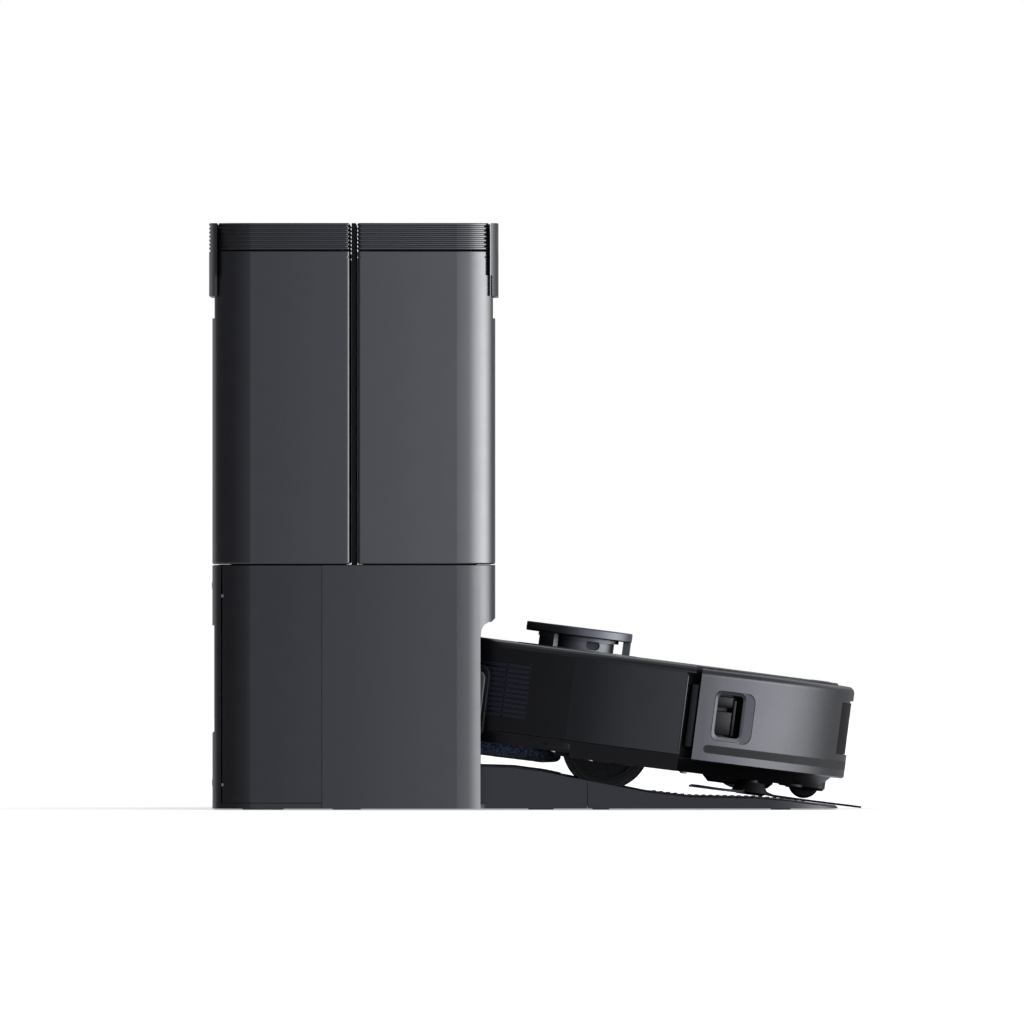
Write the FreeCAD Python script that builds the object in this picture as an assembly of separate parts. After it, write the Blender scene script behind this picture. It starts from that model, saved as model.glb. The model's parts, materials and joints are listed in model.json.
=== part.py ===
"""Robot vacuum and mop parked, nose down, on the ramp of its base station.

Millimetres. The floor is z = 0 and the origin is the middle of the tower's footprint on the floor.
+X is the way the robot drives out, +Y is the robot's left and +Z is up.
Robot parts are drawn level, in the robot's own frame (u forward, y left, v up from the underside,
origin at the centre of the round body), and dock() then tilts them onto the ramp.
"""

import FreeCAD, Part
import math
import os

V = FreeCAD.Vector
X_AXIS, Y_AXIS, Z_AXIS = V(1, 0, 0), V(0, 1, 0), V(0, 0, 1)

# ---------------------------------------------------------------- tower of the base station
TOWER_HALF_DEPTH = 99.0
TOWER_HALF_WIDTH = 173.0
TOWER_HEIGHT = 410.6
TOWER_CORNER = 28.0
SIDE_CROWN = 3.0  # how far the long side walls bulge between their corners
WALL = 3.0
PARTING_Z = 171.3  # top of the lower housing, underside of the tanks
SEAM_X = -22.0  # front housing and rear cover meet here
BASE_Z = 0.8  # the feet lift the pan this far

# ---------------------------------------------------------------- water tanks and their lids
TANK_GAP = 2.65  # half the dark slot between the two tanks
TANK_FLOOR_Z = PARTING_Z + 0.5
TANK_TOP_Z = 390.4
LID_Z = TANK_TOP_Z + 1.4
LID_RIBS = 7
RIB_DEPTH = 0.9
RIB_SHARE = 0.72  # of the pitch, the rest is groove
RIB_CHAMFER = 0.5
LID_HINGE_INSET = 3.2
LATCH_PROUD = 2.3
LATCH_THICK = 5.6
LATCH_FOOT_Z = 359.6
LATCH_HINGE_DROP = 2.8
LATCH_RECESS_Z = 344.0
LATCH_GRIP_Z = 374.0
LATCH_CORE_HALF = 42.0  # the latch is rounded to swing only along its middle
PORTS = [(-50.0, 60.0), (50.0, -60.0)]  # where the tanks' valves plug in

# ---------------------------------------------------------------- docking bay, tray and ramp
BAY_FRONT_X = 88.7  # front edge of the side walls
BAY_RADIUS = 183.0
BAY_CEILING_Z = 138.0
BAY_FLOOR_REAR_Z = 42.0
RAMP_SEAM_X = 163.4
RAMP_END_X = 339.0
RAMP_HALF_WIDTH = 156.0
RAMP_TOP = [  # side profile of the running surface, from the tower down to the floor
    (88.0, 30.0), (112.0, 29.0), (134.0, 26.2), (152.0, 22.6), (178.0, 17.6), (205.0, 12.2),
    (235.0, 8.7), (282.0, 7.7), (303.0, 6.0), (320.0, 3.6), (RAMP_END_X, BASE_Z + 0.7),
]
GRIP_PITCH = 5.0
GRIP_HEIGHT = 0.6
FOOT_ROWS = [(-78.0, -49.0), (-15.0, 5.0), (122.0, 140.0), (167.0, 179.0), (292.0, 306.0)]

# ---------------------------------------------------------------- robot, in its own frame
DOCK_PITCH = 7.3  # degrees, nose down
AXLE_X, AXLE_Z = 176.6, 44.8  # the drive axle in the station's frame
AXLE_U, AXLE_V = 6.0, 11.3
BODY_R = 175.0
BODY_TOP = 74.8
SHELL_FOOT = 12.0
SHELL_TOP = 69.5
SHELL_WALL = 2.6
SHELL_EDGE_U = 57.4
BUMPER_EDGE_U = 66.4
CHASSIS_R = 163.0  # wall behind the bumper
BUMPER_TOP = 73.4
WHEEL_R = 30.8
WHEEL_Y = 121.0
WHEEL_WIDTH = 20.0
ARM_PIVOT_U, ARM_PIVOT_V = 50.0, 22.0
TURRET_U = -22.3
TURRET_R = 37.4
DRUM_R = 25.4
DRUM_TOP = 83.0
CAP_FOOT, CAP_TOP = 84.4, 90.8
POST_ANGLES = (0.0, 128.0, -128.0)
MOP_U, MOP_Y, MOP_R = -82.0, 65.5, 62.0
PAD_FOOT, PAD_TOP = -5.5, 4.0
BRUSH_U, BRUSH_V, BRUSH_R, BRUSH_HALF = 101.0, 13.5, 21.0, 82.0
SIDE_BRUSH_U, SIDE_BRUSH_Y = 110.0, -106.0
SIDE_BRUSH_REACH = 79.0
SIDE_BRUSH_ARMS = 3
CASTER_U, CASTER_V, CASTER_R = 148.2, 2.6, 11.0
FLAP_U0, FLAP_U1, FLAP_HALF = 28.0, 136.0, 80.0
BUTTON_U, BUTTON_R = 150.0, 7.0
VENT_U0, VENT_U1, VENT_V0, VENT_V1 = -98.0, -52.6, 22.0, 61.0
LOUVRES = 11
WINDOW_U, WINDOW_V = 88.8, 42.3  # side sensor window in the bumper
FACET_EDGE = 20.9  # forward end of the shallow facet beside the side window
STRIP_V0, STRIP_V1, STRIP_EDGE_U = 15.1, 21.1, 73.7
LIP_V = 8.8  # lower edge of the bumper
MOP_BAY_U, MOP_BAY_V = -16.0, 3.2  # behind this line the underside is this much higher

# ---------------------------------------------------------------- hinge lines others need
LATCH_HINGE_X = TOWER_HALF_DEPTH + LATCH_PROUD - LATCH_THICK / 2
LATCH_HINGE_Z = TOWER_HEIGHT - LATCH_HINGE_DROP
LATCH_FACE_X = TOWER_HALF_DEPTH + LATCH_PROUD - LATCH_THICK - 0.3  # of the lid and tank behind it
LID_HINGE_X = TANK_GAP + LID_HINGE_INSET
LID_HINGE_Z = TOWER_HEIGHT - LID_HINGE_INSET
DOOR_X0, DOOR_X1 = -92.0, SEAM_X - 0.4
DOOR_Z0, DOOR_Z1 = 5.0, PARTING_Z - 0.5
DOOR_HINGE_X, DOOR_HINGE_Y = -91.2, -161.4
FAN_X, FAN_Y = -43.0, 85.0


# ================================================================ helpers
def box(x0, x1, y0, y1, z0, z1):
    return Part.makeBox(x1 - x0, y1 - y0, z1 - z0, V(x0, y0, z0))


def rod(radius, height, base, axis=Z_AXIS):
    return Part.makeCylinder(radius, height, V(*base), axis)


def tube(outer, inner, height, base, axis=Z_AXIS):
    return rod(outer, height, base, axis).cut(rod(inner, height, base, axis))


def side_prism(points, y0, y1):
    """A closed outline in the XZ plane, drawn out along Y."""
    corners = [V(x, y0, z) for x, z in points]
    face = Part.Face(Part.makePolygon(corners + corners[:1]))
    return face.extrude(V(0, y1 - y0, 0))


def top_prism(points, z0, z1):
    """A closed outline in the XY plane, drawn out along Z."""
    corners = [V(x, y, z0) for x, y in points]
    face = Part.Face(Part.makePolygon(corners + corners[:1]))
    return face.extrude(V(0, 0, z1 - z0))


def turned(points):
    """A closed outline of (radius, height) points, turned about Z."""
    corners = [V(r, 0, z) for r, z in points]
    face = Part.Face(Part.makePolygon(corners + corners[:1]))
    return face.revolve(V(0, 0, 0), Z_AXIS, 360)


def upright_edges(shape, where=lambda p: True):
    found = []
    for edge in shape.Edges:
        box_ = edge.BoundBox
        if box_.XLength < 1e-6 and box_.YLength < 1e-6 and where(edge.CenterOfMass):
            found.append(edge)
    return found


def level_edges(shape, z, where=lambda p: True):
    found = []
    for edge in shape.Edges:
        box_ = edge.BoundBox
        if abs(box_.ZMin - z) < 1e-4 and abs(box_.ZMax - z) < 1e-4 and where(edge.CenterOfMass):
            found.append(edge)
    return found


def mirrored(shape):
    """The same piece on the robot's or station's other side."""
    return shape.mirror(V(0, 0, 0), Y_AXIS)


def fused(first, *others):
    return first.multiFuse(list(others)).removeSplitter()


def dock(shape):
    """Carries a shape from the robot's own frame to where it is parked."""
    tilt = FreeCAD.Rotation(Y_AXIS, DOCK_PITCH)
    shift = V(AXLE_X, 0, AXLE_Z) - tilt.multVec(V(AXLE_U, 0, AXLE_V))
    moved = shape.copy()
    moved.Placement = FreeCAD.Placement(shift, tilt).multiply(moved.Placement)
    return moved


def parked_point(u, y, v):
    tilt = FreeCAD.Rotation(Y_AXIS, DOCK_PITCH)
    return V(AXLE_X, 0, AXLE_Z) + tilt.multVec(V(u - AXLE_U, y, v - AXLE_V))


# ================================================================ the tower's outline
def tower_prism(z0, z1, inset=0.0, corner=None):
    """The tower's plan, with crowned long sides and round corners, as a solid."""
    half_x = TOWER_HALF_DEPTH - inset
    half_y = TOWER_HALF_WIDTH - inset
    end_y = half_y - SIDE_CROWN
    points = [V(-half_x, -end_y, z0), V(half_x, -end_y, z0), V(half_x, end_y, z0),
              V(-half_x, end_y, z0)]
    edges = [
        Part.Arc(points[0], V(0, -half_y, z0), points[1]).toShape(),
        Part.makeLine(points[1], points[2]),
        Part.Arc(points[2], V(0, half_y, z0), points[3]).toShape(),
        Part.makeLine(points[3], points[0]),
    ]
    solid = Part.Face(Part.Wire(edges)).extrude(V(0, 0, z1 - z0))
    radius = (TOWER_CORNER if corner is None else corner) - inset
    return solid.makeFillet(radius, upright_edges(solid))


def tower_ring(z0, z1, inset=0.0, wall=WALL):
    return tower_prism(z0, z1, inset).cut(tower_prism(z0 - 1, z1 + 1, inset + wall))


def half_space(x0, x1, z0=-5.0, z1=TOWER_HEIGHT + 5):
    return box(x0, x1, -250, 250, z0, z1)


# ================================================================ station: housing
def front_housing():
    ring = tower_ring(BASE_Z, PARTING_Z - 0.3)
    ring = ring.common(half_space(SEAM_X, 120))
    mouth = side_prism(
        [(BAY_FRONT_X, -5), (BAY_FRONT_X, 121.0), (89.4, 125.6), (91.2, 129.2), (94.6, 131.4),
         (96.4, 131.4), (TOWER_HALF_DEPTH + 1, 135.0), (TOWER_HALF_DEPTH + 20, 135.0),
         (TOWER_HALF_DEPTH + 20, -5)], -250, 250)
    return ring.cut(mouth)


def rear_cover():
    ring = tower_ring(BASE_Z, PARTING_Z - 0.3)
    ring = ring.common(half_space(-120, SEAM_X - 0.4))
    opening = box(DOOR_X0 - 1.0, SEAM_X + 1, -250, -100, DOOR_Z0 - 0.5, DOOR_Z1 + 0.5)
    cable_bay = box(-TOWER_HALF_DEPTH - 1, -TOWER_HALF_DEPTH + 2.2, -152, 152, 54, 129)
    backing = tower_ring(50, 133, WALL, 2.0).common(half_space(-99, -93))
    inlet_hole = box(-110, -80, 96, 124, 66, 82)
    slots = []
    for row in range(8):
        z = 62 + row * 8.0
        slots.append(box(-110, -90, -60, 60, z, z + 3.0))
    return fused(ring.cut(opening).cut(cable_bay), backing).cut(inlet_hole).cut(
        Part.makeCompound(slots))


def dust_bag_door():
    ring = tower_ring(DOOR_Z0, DOOR_Z1)
    panel = ring.common(box(DOOR_X0, DOOR_X1, -250, -100, DOOR_Z0, DOOR_Z1))
    stiffener = box(-80, -34, -168.6, -164.6, 30, 34)
    return fused(panel, stiffener, stiffener.translated(V(0, 0, 108)))


def bay_centre_x():
    return parked_point(0, 0, BODY_TOP / 2).x


def bay_liner():
    cx = bay_centre_x()
    wall = tube(BAY_RADIUS + WALL, BAY_RADIUS, BAY_CEILING_Z - 3 + WALL, (cx, 0, 3 + BASE_Z))
    roof = rod(BAY_RADIUS + WALL, WALL, (cx, 0, BAY_CEILING_Z + BASE_Z))
    shell = fused(wall, roof).common(half_space(-60, BAY_FRONT_X + 6.6))
    shell = shell.common(tower_prism(BASE_Z, 160, WALL + 0.4))
    shell = shell.cut(half_space(BAY_FRONT_X - 1.5, 120, -5, BAY_CEILING_Z))
    contact_slots = [box(-30, 10, y - 7, y + 7, 75.6, 84.4) for y in (-30, 30)]
    window = box(-30, 10, -16, 16, 100, 116)
    spigot = rod(17, 15, (-23, -52, 100), X_AXIS).cut(rod(BAY_RADIUS + 1, 200, (cx, 0, 0)))
    bore = rod(14, 40, (-30, -52, 100), X_AXIS)
    return fused(shell, spigot).cut(Part.makeCompound([bore, window] + contact_slots))


def ir_window():
    cx = bay_centre_x()
    lens = tube(BAY_RADIUS + WALL, BAY_RADIUS + 0.2, 15.4, (cx, 0, 100.3))
    return lens.common(box(-30, 10, -15.7, 15.7, 90, 130))


def charging_contacts():
    tips = []
    for y in (-30, 30):
        tip = box(-13.0, -1.7, y - 6.5, y + 6.5, 76, 84)
        front = [e for e in tip.Edges if abs(e.BoundBox.XMin + 1.7) < 1e-6]
        tips.append(tip.makeFillet(1.2, front))
    return Part.makeCompound(tips)


def tank_bay_frame():
    deck = tower_prism(PARTING_Z - 6, PARTING_Z, WALL + 0.4)
    spine = box(-1.5, 1.5, -164, 164, PARTING_Z - 1, TOWER_HEIGHT)
    ports = []
    lips = []
    for x, y in PORTS:
        ports.append(rod(9, 40, (x, y, PARTING_Z - 20)))
        lips.append(tube(12, 9, 9, (x, y, PARTING_Z - 14)))
    ports.append(rod(13.0, 40, (DOOR_HINGE_X, DOOR_HINGE_Y, PARTING_Z - 20)))
    return fused(fused(deck, spine).cut(Part.makeCompound(ports)), *lips)


# ================================================================ station: base, tray and ramp
def ramp_outline(x0, x1, drop, foot):
    """The running surface between x0 and x1, lowered by drop, closed along z = foot."""
    inside = [(x, z) for x, z in RAMP_TOP if x0 < x < x1]
    ends = [(x0, ramp_height(x0)), (x1, ramp_height(x1))]
    top = [ends[0]] + inside + [ends[1]]
    return [(x0, foot)] + [(x, max(z - drop, foot + 0.4)) for x, z in top] + [(x1, foot)]


def ramp_height(x):
    for (xa, za), (xb, zb) in zip(RAMP_TOP, RAMP_TOP[1:]):
        if xa <= x <= xb:
            return za + (zb - za) * (x - xa) / (xb - xa)
    return BAY_FLOOR_REAR_Z + (RAMP_TOP[0][1] - BAY_FLOOR_REAR_Z) * (x + 6) / (RAMP_TOP[0][0] + 6)


def wheel_tracks():
    """Hollows that hold the drive wheels, with a level run-out towards the ramp."""
    cuts = []
    for y in (-WHEEL_Y, WHEEL_Y):
        half = WHEEL_WIDTH / 2 + 2.5
        cuts.append(rod(WHEEL_R + 0.4, 2 * half, (AXLE_X, y - half, AXLE_Z), Y_AXIS))
        cuts.append(box(AXLE_X, 203, y - half, y + half, AXLE_Z - WHEEL_R - 0.4, 40))
    return Part.makeCompound(cuts)


def base_pan():
    top = [(-6, BAY_FLOOR_REAR_Z - 4), (86, RAMP_TOP[0][1] - 4)]
    inner = side_prism([(-10, BASE_Z)] + [(-10, top[0][1])] + top + [(86, BASE_Z)], -200, 200)
    inner = inner.common(tower_prism(0, 60, WALL + 0.4))
    inner = inner.common(rod(BAY_RADIUS - 0.5, 60, (bay_centre_x(), 0, 0)))
    floor = tower_prism(BASE_Z, BASE_Z + 3, WALL + 0.4)
    outer = side_prism(ramp_outline(BAY_FRONT_X + 0.4, RAMP_SEAM_X, 0.0, BASE_Z),
                       -RAMP_HALF_WIDTH, RAMP_HALF_WIDTH)
    neck = box(80, BAY_FRONT_X + 1, -RAMP_HALF_WIDTH, RAMP_HALF_WIDTH, BASE_Z, 26)
    solid = fused(inner, floor, outer, neck)
    tray_seat = side_prism(ramp_outline(BAY_FRONT_X - 3, 150.0, 0.0, 10.0), -150, 150)
    tray_seat = tray_seat.cut(side_prism(ramp_outline(BAY_FRONT_X - 3, 150.0, 4.4, 5.0), -151, 151))
    hollow = side_prism([(-2, BASE_Z - 1), (-2, 33), (84, 21.5), (148, 14.6), (148, BASE_Z - 1)],
                        -130, 130)
    hollow = hollow.common(rod(BAY_RADIUS - 6, 60, (bay_centre_x(), 0, -5)))
    ribs = [box(-5, 150, y - 1.5, y + 1.5, BASE_Z, 35) for y in (-65, 0, 65)]
    hollow = hollow.cut(Part.makeCompound(ribs))
    return solid.cut(tray_seat).cut(hollow).cut(wheel_tracks())


def washboard_tray():
    """Wash tray under the mops, with ridges that scrub the pads as they turn."""
    def sheet(lift, thick):
        top = [(-2.0, BAY_FLOOR_REAR_Z - 0.6), (85.4, 29.6), (112.0, 28.8), (134.0, 26.0),
               (149.6, 22.8)]
        upper = [(x, z + lift) for x, z in top]
        lower = [(x, z + lift - thick) for x, z in reversed(top)]
        return upper + lower
    plan = rod(BAY_RADIUS - 4, 100, (bay_centre_x(), 0, 0)).common(box(-20, 200, -149.6, 149.6, 0, 100))
    plate = side_prism(sheet(-0.4, 2.6), -149.6, 149.6).common(plan)
    mop_x = parked_point(MOP_U, 0, PAD_FOOT).x
    rings = []
    for y in (-MOP_Y, MOP_Y):
        rings.append(tube(MOP_R - 4, 18, 100, (mop_x, y, 0)))
    ridges = []
    for step in range(-12, 13):
        y = step * 11.5
        ridges.append(side_prism(sheet(1.2, 2.2), y - 1.6, y + 1.6))
    ridge_set = Part.makeCompound(ridges).common(Part.makeCompound(rings)).common(plan)
    drains = [rod(3.2, 100, (mop_x + dx, y, 0)) for dx in (-8, 8) for y in (-MOP_Y, MOP_Y)]
    return fused(plate, *ridge_set.Solids).cut(Part.makeCompound(drains))


def ramp_plate():
    solid = side_prism(ramp_outline(RAMP_SEAM_X + 0.4, RAMP_END_X, 0.0, BASE_Z),
                       -RAMP_HALF_WIDTH, RAMP_HALF_WIDTH)
    plan = box(RAMP_SEAM_X, RAMP_END_X, -RAMP_HALF_WIDTH, RAMP_HALF_WIDTH, -5, 40)
    corners = upright_edges(plan, lambda p: p.x > RAMP_END_X - 1)
    solid = solid.common(plan.makeFillet(46.0, corners))
    under = side_prism(ramp_outline(RAMP_SEAM_X + 4, 312.0, 2.6, BASE_Z - 1), -150, 150)
    webs = [box(RAMP_SEAM_X, 330, y - 1.2, y + 1.2, BASE_Z, 30) for y in (-100, -50, 0, 50, 100)]
    webs += [box(x - 1.2, x + 1.2, -160, 160, BASE_Z, 30) for x in (212, 262)]
    tread_floor = [box(RAMP_SEAM_X, 209, y - 14.5, y + 14.5, 4.0, 30) for y in (-WHEEL_Y, WHEEL_Y)]
    keep = Part.makeCompound(webs + tread_floor)
    seat = grip_seats(0.0)
    return solid.cut(under.cut(keep)).cut(seat).cut(wheel_tracks())


def grip_seats(play):
    """The two bands let into the ramp that carry the rubber treads."""
    bands = []
    for y in (-WHEEL_Y, WHEEL_Y):
        outline = ramp_outline(207.0 + play, 322.0 - play, 0.0, -5)
        floor_ = ramp_outline(207.0 + play, 322.0 - play, 1.2 - play, -6)
        band = side_prism(outline, y - 19 + play, y + 19 - play)
        bands.append(band.cut(side_prism(floor_, y - 20, y + 20)))
    return Part.makeCompound(bands)


def ramp_treads():
    """Rubber bands with cross ribs where the drive wheels climb."""
    strips = []
    for band in grip_seats(0.15).Solids:
        y = band.CenterOfMass.y
        ribs = []
        x = 211.0
        while x < 318.0:
            z = ramp_height(x)
            ribs.append(box(x - 1.3, x + 1.3, y - 17, y + 17, z - 0.8, z + GRIP_HEIGHT - 0.1))
            x += GRIP_PITCH
        strips.append(fused(band, *ribs))
    return Part.makeCompound(strips)


def station_feet():
    feet = []
    for x0, x1 in FOOT_ROWS:
        for y0, y1 in ((-135, -75), (-30, 30), (75, 135)):
            foot = box(x0, x1, y0, y1, 0, BASE_Z)
            feet.append(foot.makeChamfer(0.4, level_edges(foot, 0.0)))
    return Part.makeCompound(feet)


# ================================================================ station: water tanks
def tank_half(z0, z1, inset=0.0):
    """The front tank's share of the tower's plan."""
    solid = tower_prism(z0, z1, inset)
    solid = solid.common(half_space(TANK_GAP + inset, 200, z0 - 1, z1 + 1))
    return solid.makeFillet(2.0, upright_edges(solid, lambda p: p.x < TANK_GAP + inset + 0.1))


def facing(front, shape):
    """The rear tank and all it carries are the front one's, turned half round about Z."""
    return shape if front else shape.rotated(V(0, 0, 0), Z_AXIS, 180)


def latch_pocket(z0):
    """Space the latch needs at the outer face of the lid and the tank."""
    return box(LATCH_FACE_X, 130, -200, 200, z0, TOWER_HEIGHT + 5)


def tank_shell(front):
    body = tank_half(TANK_FLOOR_Z, TANK_TOP_Z)
    body = body.makeFillet(1.2, level_edges(body, TANK_FLOOR_Z))
    groove = tank_half(386.2, 387.2, -1.0).cut(tank_half(386.0, 387.4, 0.6))
    cavity = tank_half(TANK_FLOOR_Z + WALL, TANK_TOP_Z + 5, WALL)
    cavity = cavity.cut(box(91.0, 130, -200, 200, LATCH_RECESS_Z - 4, 400))
    scoop = box(97.4, 130, -200, 200, LATCH_RECESS_Z, LATCH_FOOT_Z + 0.1)
    body = body.cut(groove).cut(cavity).cut(latch_pocket(LATCH_FOOT_Z - 0.4)).cut(scoop)
    ears = []
    for y in (-110, 110):
        ears.append(box(TANK_GAP + 0.3, LID_HINGE_X + 2.9, y - 5, y + 5, TANK_TOP_Z - 8, LID_HINGE_Z))
        ears.append(rod(2.9, 10, (LID_HINGE_X, y - 5, LID_HINGE_Z), Y_AXIS))
    body = fused(body, *ears)
    body = body.cut(rod(1.55, 240, (LID_HINGE_X, -120, LID_HINGE_Z), Y_AXIS))
    port_x, port_y = PORTS[1]
    spout = rod(8.6, 8.5, (port_x, port_y, PARTING_Z - 7.0))
    body = fused(body, spout).cut(rod(4.0, 30, (port_x, port_y, PARTING_Z - 10)))
    return facing(front, body)


def rib_heights():
    """Foot and top of each level rib round the lid, the highest one flush with the lid's top."""
    pitch = (TOWER_HEIGHT - LID_Z) / (LID_RIBS - 1 + RIB_SHARE)
    return [(LID_Z + row * pitch, LID_Z + (row + RIB_SHARE) * pitch) for row in range(LID_RIBS)]


def tank_lid(front):
    core = tank_half(LID_Z, TOWER_HEIGHT, RIB_DEPTH)
    ribs = []
    for z0, z1 in rib_heights():
        rib = tank_half(z0, z1)
        ribs.append(rib.makeChamfer(RIB_CHAMFER, level_edges(rib, z0) + level_edges(rib, z1)))
    lid = fused(core, *ribs)
    well = tank_half(LID_Z - 1, TOWER_HEIGHT - 4, 8.5)
    lid = lid.cut(well).cut(latch_pocket(LID_Z - 2))
    notches = [box(TANK_GAP - 1, TANK_GAP + 6.4, y - 5.4, y + 5.4, LID_Z - 1, TOWER_HEIGHT + 1)
               for y in (-110, 110)]
    lid = lid.cut(Part.makeCompound(notches))
    round_off = half_space(TANK_GAP - 1, LID_HINGE_X, LID_HINGE_Z, TOWER_HEIGHT + 5).cut(
        rod(LID_HINGE_INSET + 0.8, 500, (LID_HINGE_X, -250, LID_HINGE_Z), Y_AXIS))
    for y0, y1 in ((-200, -LATCH_CORE_HALF + 1.5), (LATCH_CORE_HALF - 1.5, 200)):
        lid = lid.cut(box(LATCH_FACE_X - 1.1, 130, y0, y1, LATCH_HINGE_Z - 1.5, TOWER_HEIGHT + 1))
    bore = rod(1.55, 240, (LID_HINGE_X, -120, LID_HINGE_Z), Y_AXIS)
    return facing(front, lid.cut(round_off).cut(bore))


def tank_hinge_pin(front):
    pin = rod(1.5, 232, (LID_HINGE_X, -116, LID_HINGE_Z), Y_AXIS)
    return facing(front, pin)


def tank_seal(front):
    seal = tank_half(TANK_TOP_Z, TANK_TOP_Z + 0.5, 1.0)
    seal = seal.cut(tank_half(TANK_TOP_Z - 1, TANK_TOP_Z + 2, 3.6))
    seal = seal.cut(latch_pocket(TANK_TOP_Z - 2))
    ears = [box(TANK_GAP - 1, TANK_GAP + 6.5, y - 5.6, y + 5.6, 380, 400) for y in (-110, 110)]
    return facing(front, seal.cut(Part.makeCompound(ears)))


def tank_latch(front):
    """Full-width latch on the outer face: ribbed like the lid above, a smooth finger lip below."""
    inner_x = TOWER_HALF_DEPTH + LATCH_PROUD - LATCH_THICK
    outer_x = TOWER_HALF_DEPTH + LATCH_PROUD
    slab = tower_prism(LATCH_FOOT_Z, TOWER_HEIGHT, -LATCH_PROUD)
    slab = slab.common(box(inner_x, outer_x - RIB_DEPTH, -200, 200, 300, 420))
    lip = tower_prism(LATCH_FOOT_Z, LID_Z - 1.2, -LATCH_PROUD)
    skins = [lip.common(box(inner_x, outer_x, -200, 200, 300, 420))]
    for z0, z1 in rib_heights():
        rib = tower_prism(z0, z1, -LATCH_PROUD)
        rib = rib.makeChamfer(RIB_CHAMFER, level_edges(rib, z0) + level_edges(rib, z1))
        skins.append(rib.common(box(inner_x, outer_x, -200, 200, 300, 420)))
    latch = fused(slab, *skins)
    grips = [box(inner_x - 1, inner_x + 2.6, -60, 60, LATCH_FOOT_Z - 1, LATCH_GRIP_Z)]
    for y0, y1 in ((-200, -152), (152, 200)):
        grips.append(box(inner_x - 1, inner_x + 1.3, y0, y1, LATCH_FOOT_Z - 1, LATCH_GRIP_Z))
    core = box(inner_x - 1, LATCH_HINGE_X, -LATCH_CORE_HALF, LATCH_CORE_HALF, LATCH_HINGE_Z,
               TOWER_HEIGHT + 5)
    round_off = core.cut(rod(LATCH_HINGE_DROP, 500, (LATCH_HINGE_X, -250, LATCH_HINGE_Z), Y_AXIS))
    return facing(front, latch.cut(Part.makeCompound(grips)).cut(round_off))


# ================================================================ station: works behind the bay
def dust_bag():
    bag = box(-88, -28, -152, -24, 12, 150)
    deep = box(-60, 6, -152, -70, 12, 126)
    deep = deep.cut(rod(BAY_RADIUS + WALL + 2, 300, (bay_centre_x(), 0, -50)))
    whole = fused(bag, deep)
    return whole.makeFillet(9.0, upright_edges(whole, lambda p: p.x < -40))


def dust_bag_collar():
    return fused(box(-84, -30, -100, -46, 150.5, 153.0), tube(19, 15.5, 7.0, (-57, -73, 153.0)))


def suction_fan_housing():
    outer = rod(46, 44, (FAN_X, FAN_Y, 12))
    inner = rod(42, 38, (FAN_X, FAN_Y, 15))
    outlet = box(-93, FAN_X - 12, FAN_Y + 30, FAN_Y + 45.5, 12, 56)
    passage = box(-94, FAN_X - 12, FAN_Y + 33, FAN_Y + 42.5, 15, 53)
    motor = rod(24, 40, (FAN_X, FAN_Y, 56))
    shell = fused(outer, outlet, motor).cut(inner).cut(passage)
    return shell.cut(rod(26, 5, (FAN_X, FAN_Y, 11)))


def suction_impeller():
    hub = rod(12, 30, (FAN_X, FAN_Y, 18))
    plate_ = rod(38, 2.5, (FAN_X, FAN_Y, 18))
    blades = []
    for step in range(9):
        blade = box(8, 37, -1, 1, 20, 40)
        blade.rotate(V(0, 0, 0), Z_AXIS, step * 40)
        blade.translate(V(FAN_X, FAN_Y, 0))
        blades.append(blade)
    return fused(hub, plate_, *blades)


def water_pumps():
    pumps = []
    for y in (28.0, 145.0):
        body = rod(13, 34, (-62, y, 108))
        head = box(-78, -46, y - 15, y + 15, 142, 154)
        pumps.append(fused(body, head))
    return Part.makeCompound(pumps)


def power_board():
    board = box(-90, -88.2, -10, 20, 14, 120)
    parts = [box(-88.2, -70, -6, 14, 80, 104), box(-88.2, -74, -8, 4, 30, 50),
             rod(6, 22, (-88.2, 10, 62), X_AXIS)]
    return fused(board, *parts)


def power_inlet():
    body = box(-98.0, -78, 97, 123, 67, 81)
    body = body.makeFillet(2.0, [e for e in body.Edges if e.BoundBox.XLength > 10])
    flange = box(-98.4, -96.9, 93, 127, 63, 85)
    socket = box(-99, -82, 100, 120, 69.5, 78.5)
    pins = [rod(1.2, 13, (-81.0, y, 74), V(-1, 0, 0)) for y in (106, 114)]
    return fused(fused(body, flange).cut(socket), *pins)


# ================================================================ robot: body
def disc_slice(radius, v0, v1, u0=-200.0, u1=200.0):
    return rod(radius, v1 - v0, (0, 0, v0)).common(box(u0, u1, -200, 200, v0, v1))


def wheel_well_box(grow, v1):
    half = WHEEL_WIDTH / 2 + 3.0 + grow
    return box(AXLE_U - 34 - grow, ARM_PIVOT_U + 9 + grow, WHEEL_Y - half - 4, WHEEL_Y + half, -5, v1)


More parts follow.
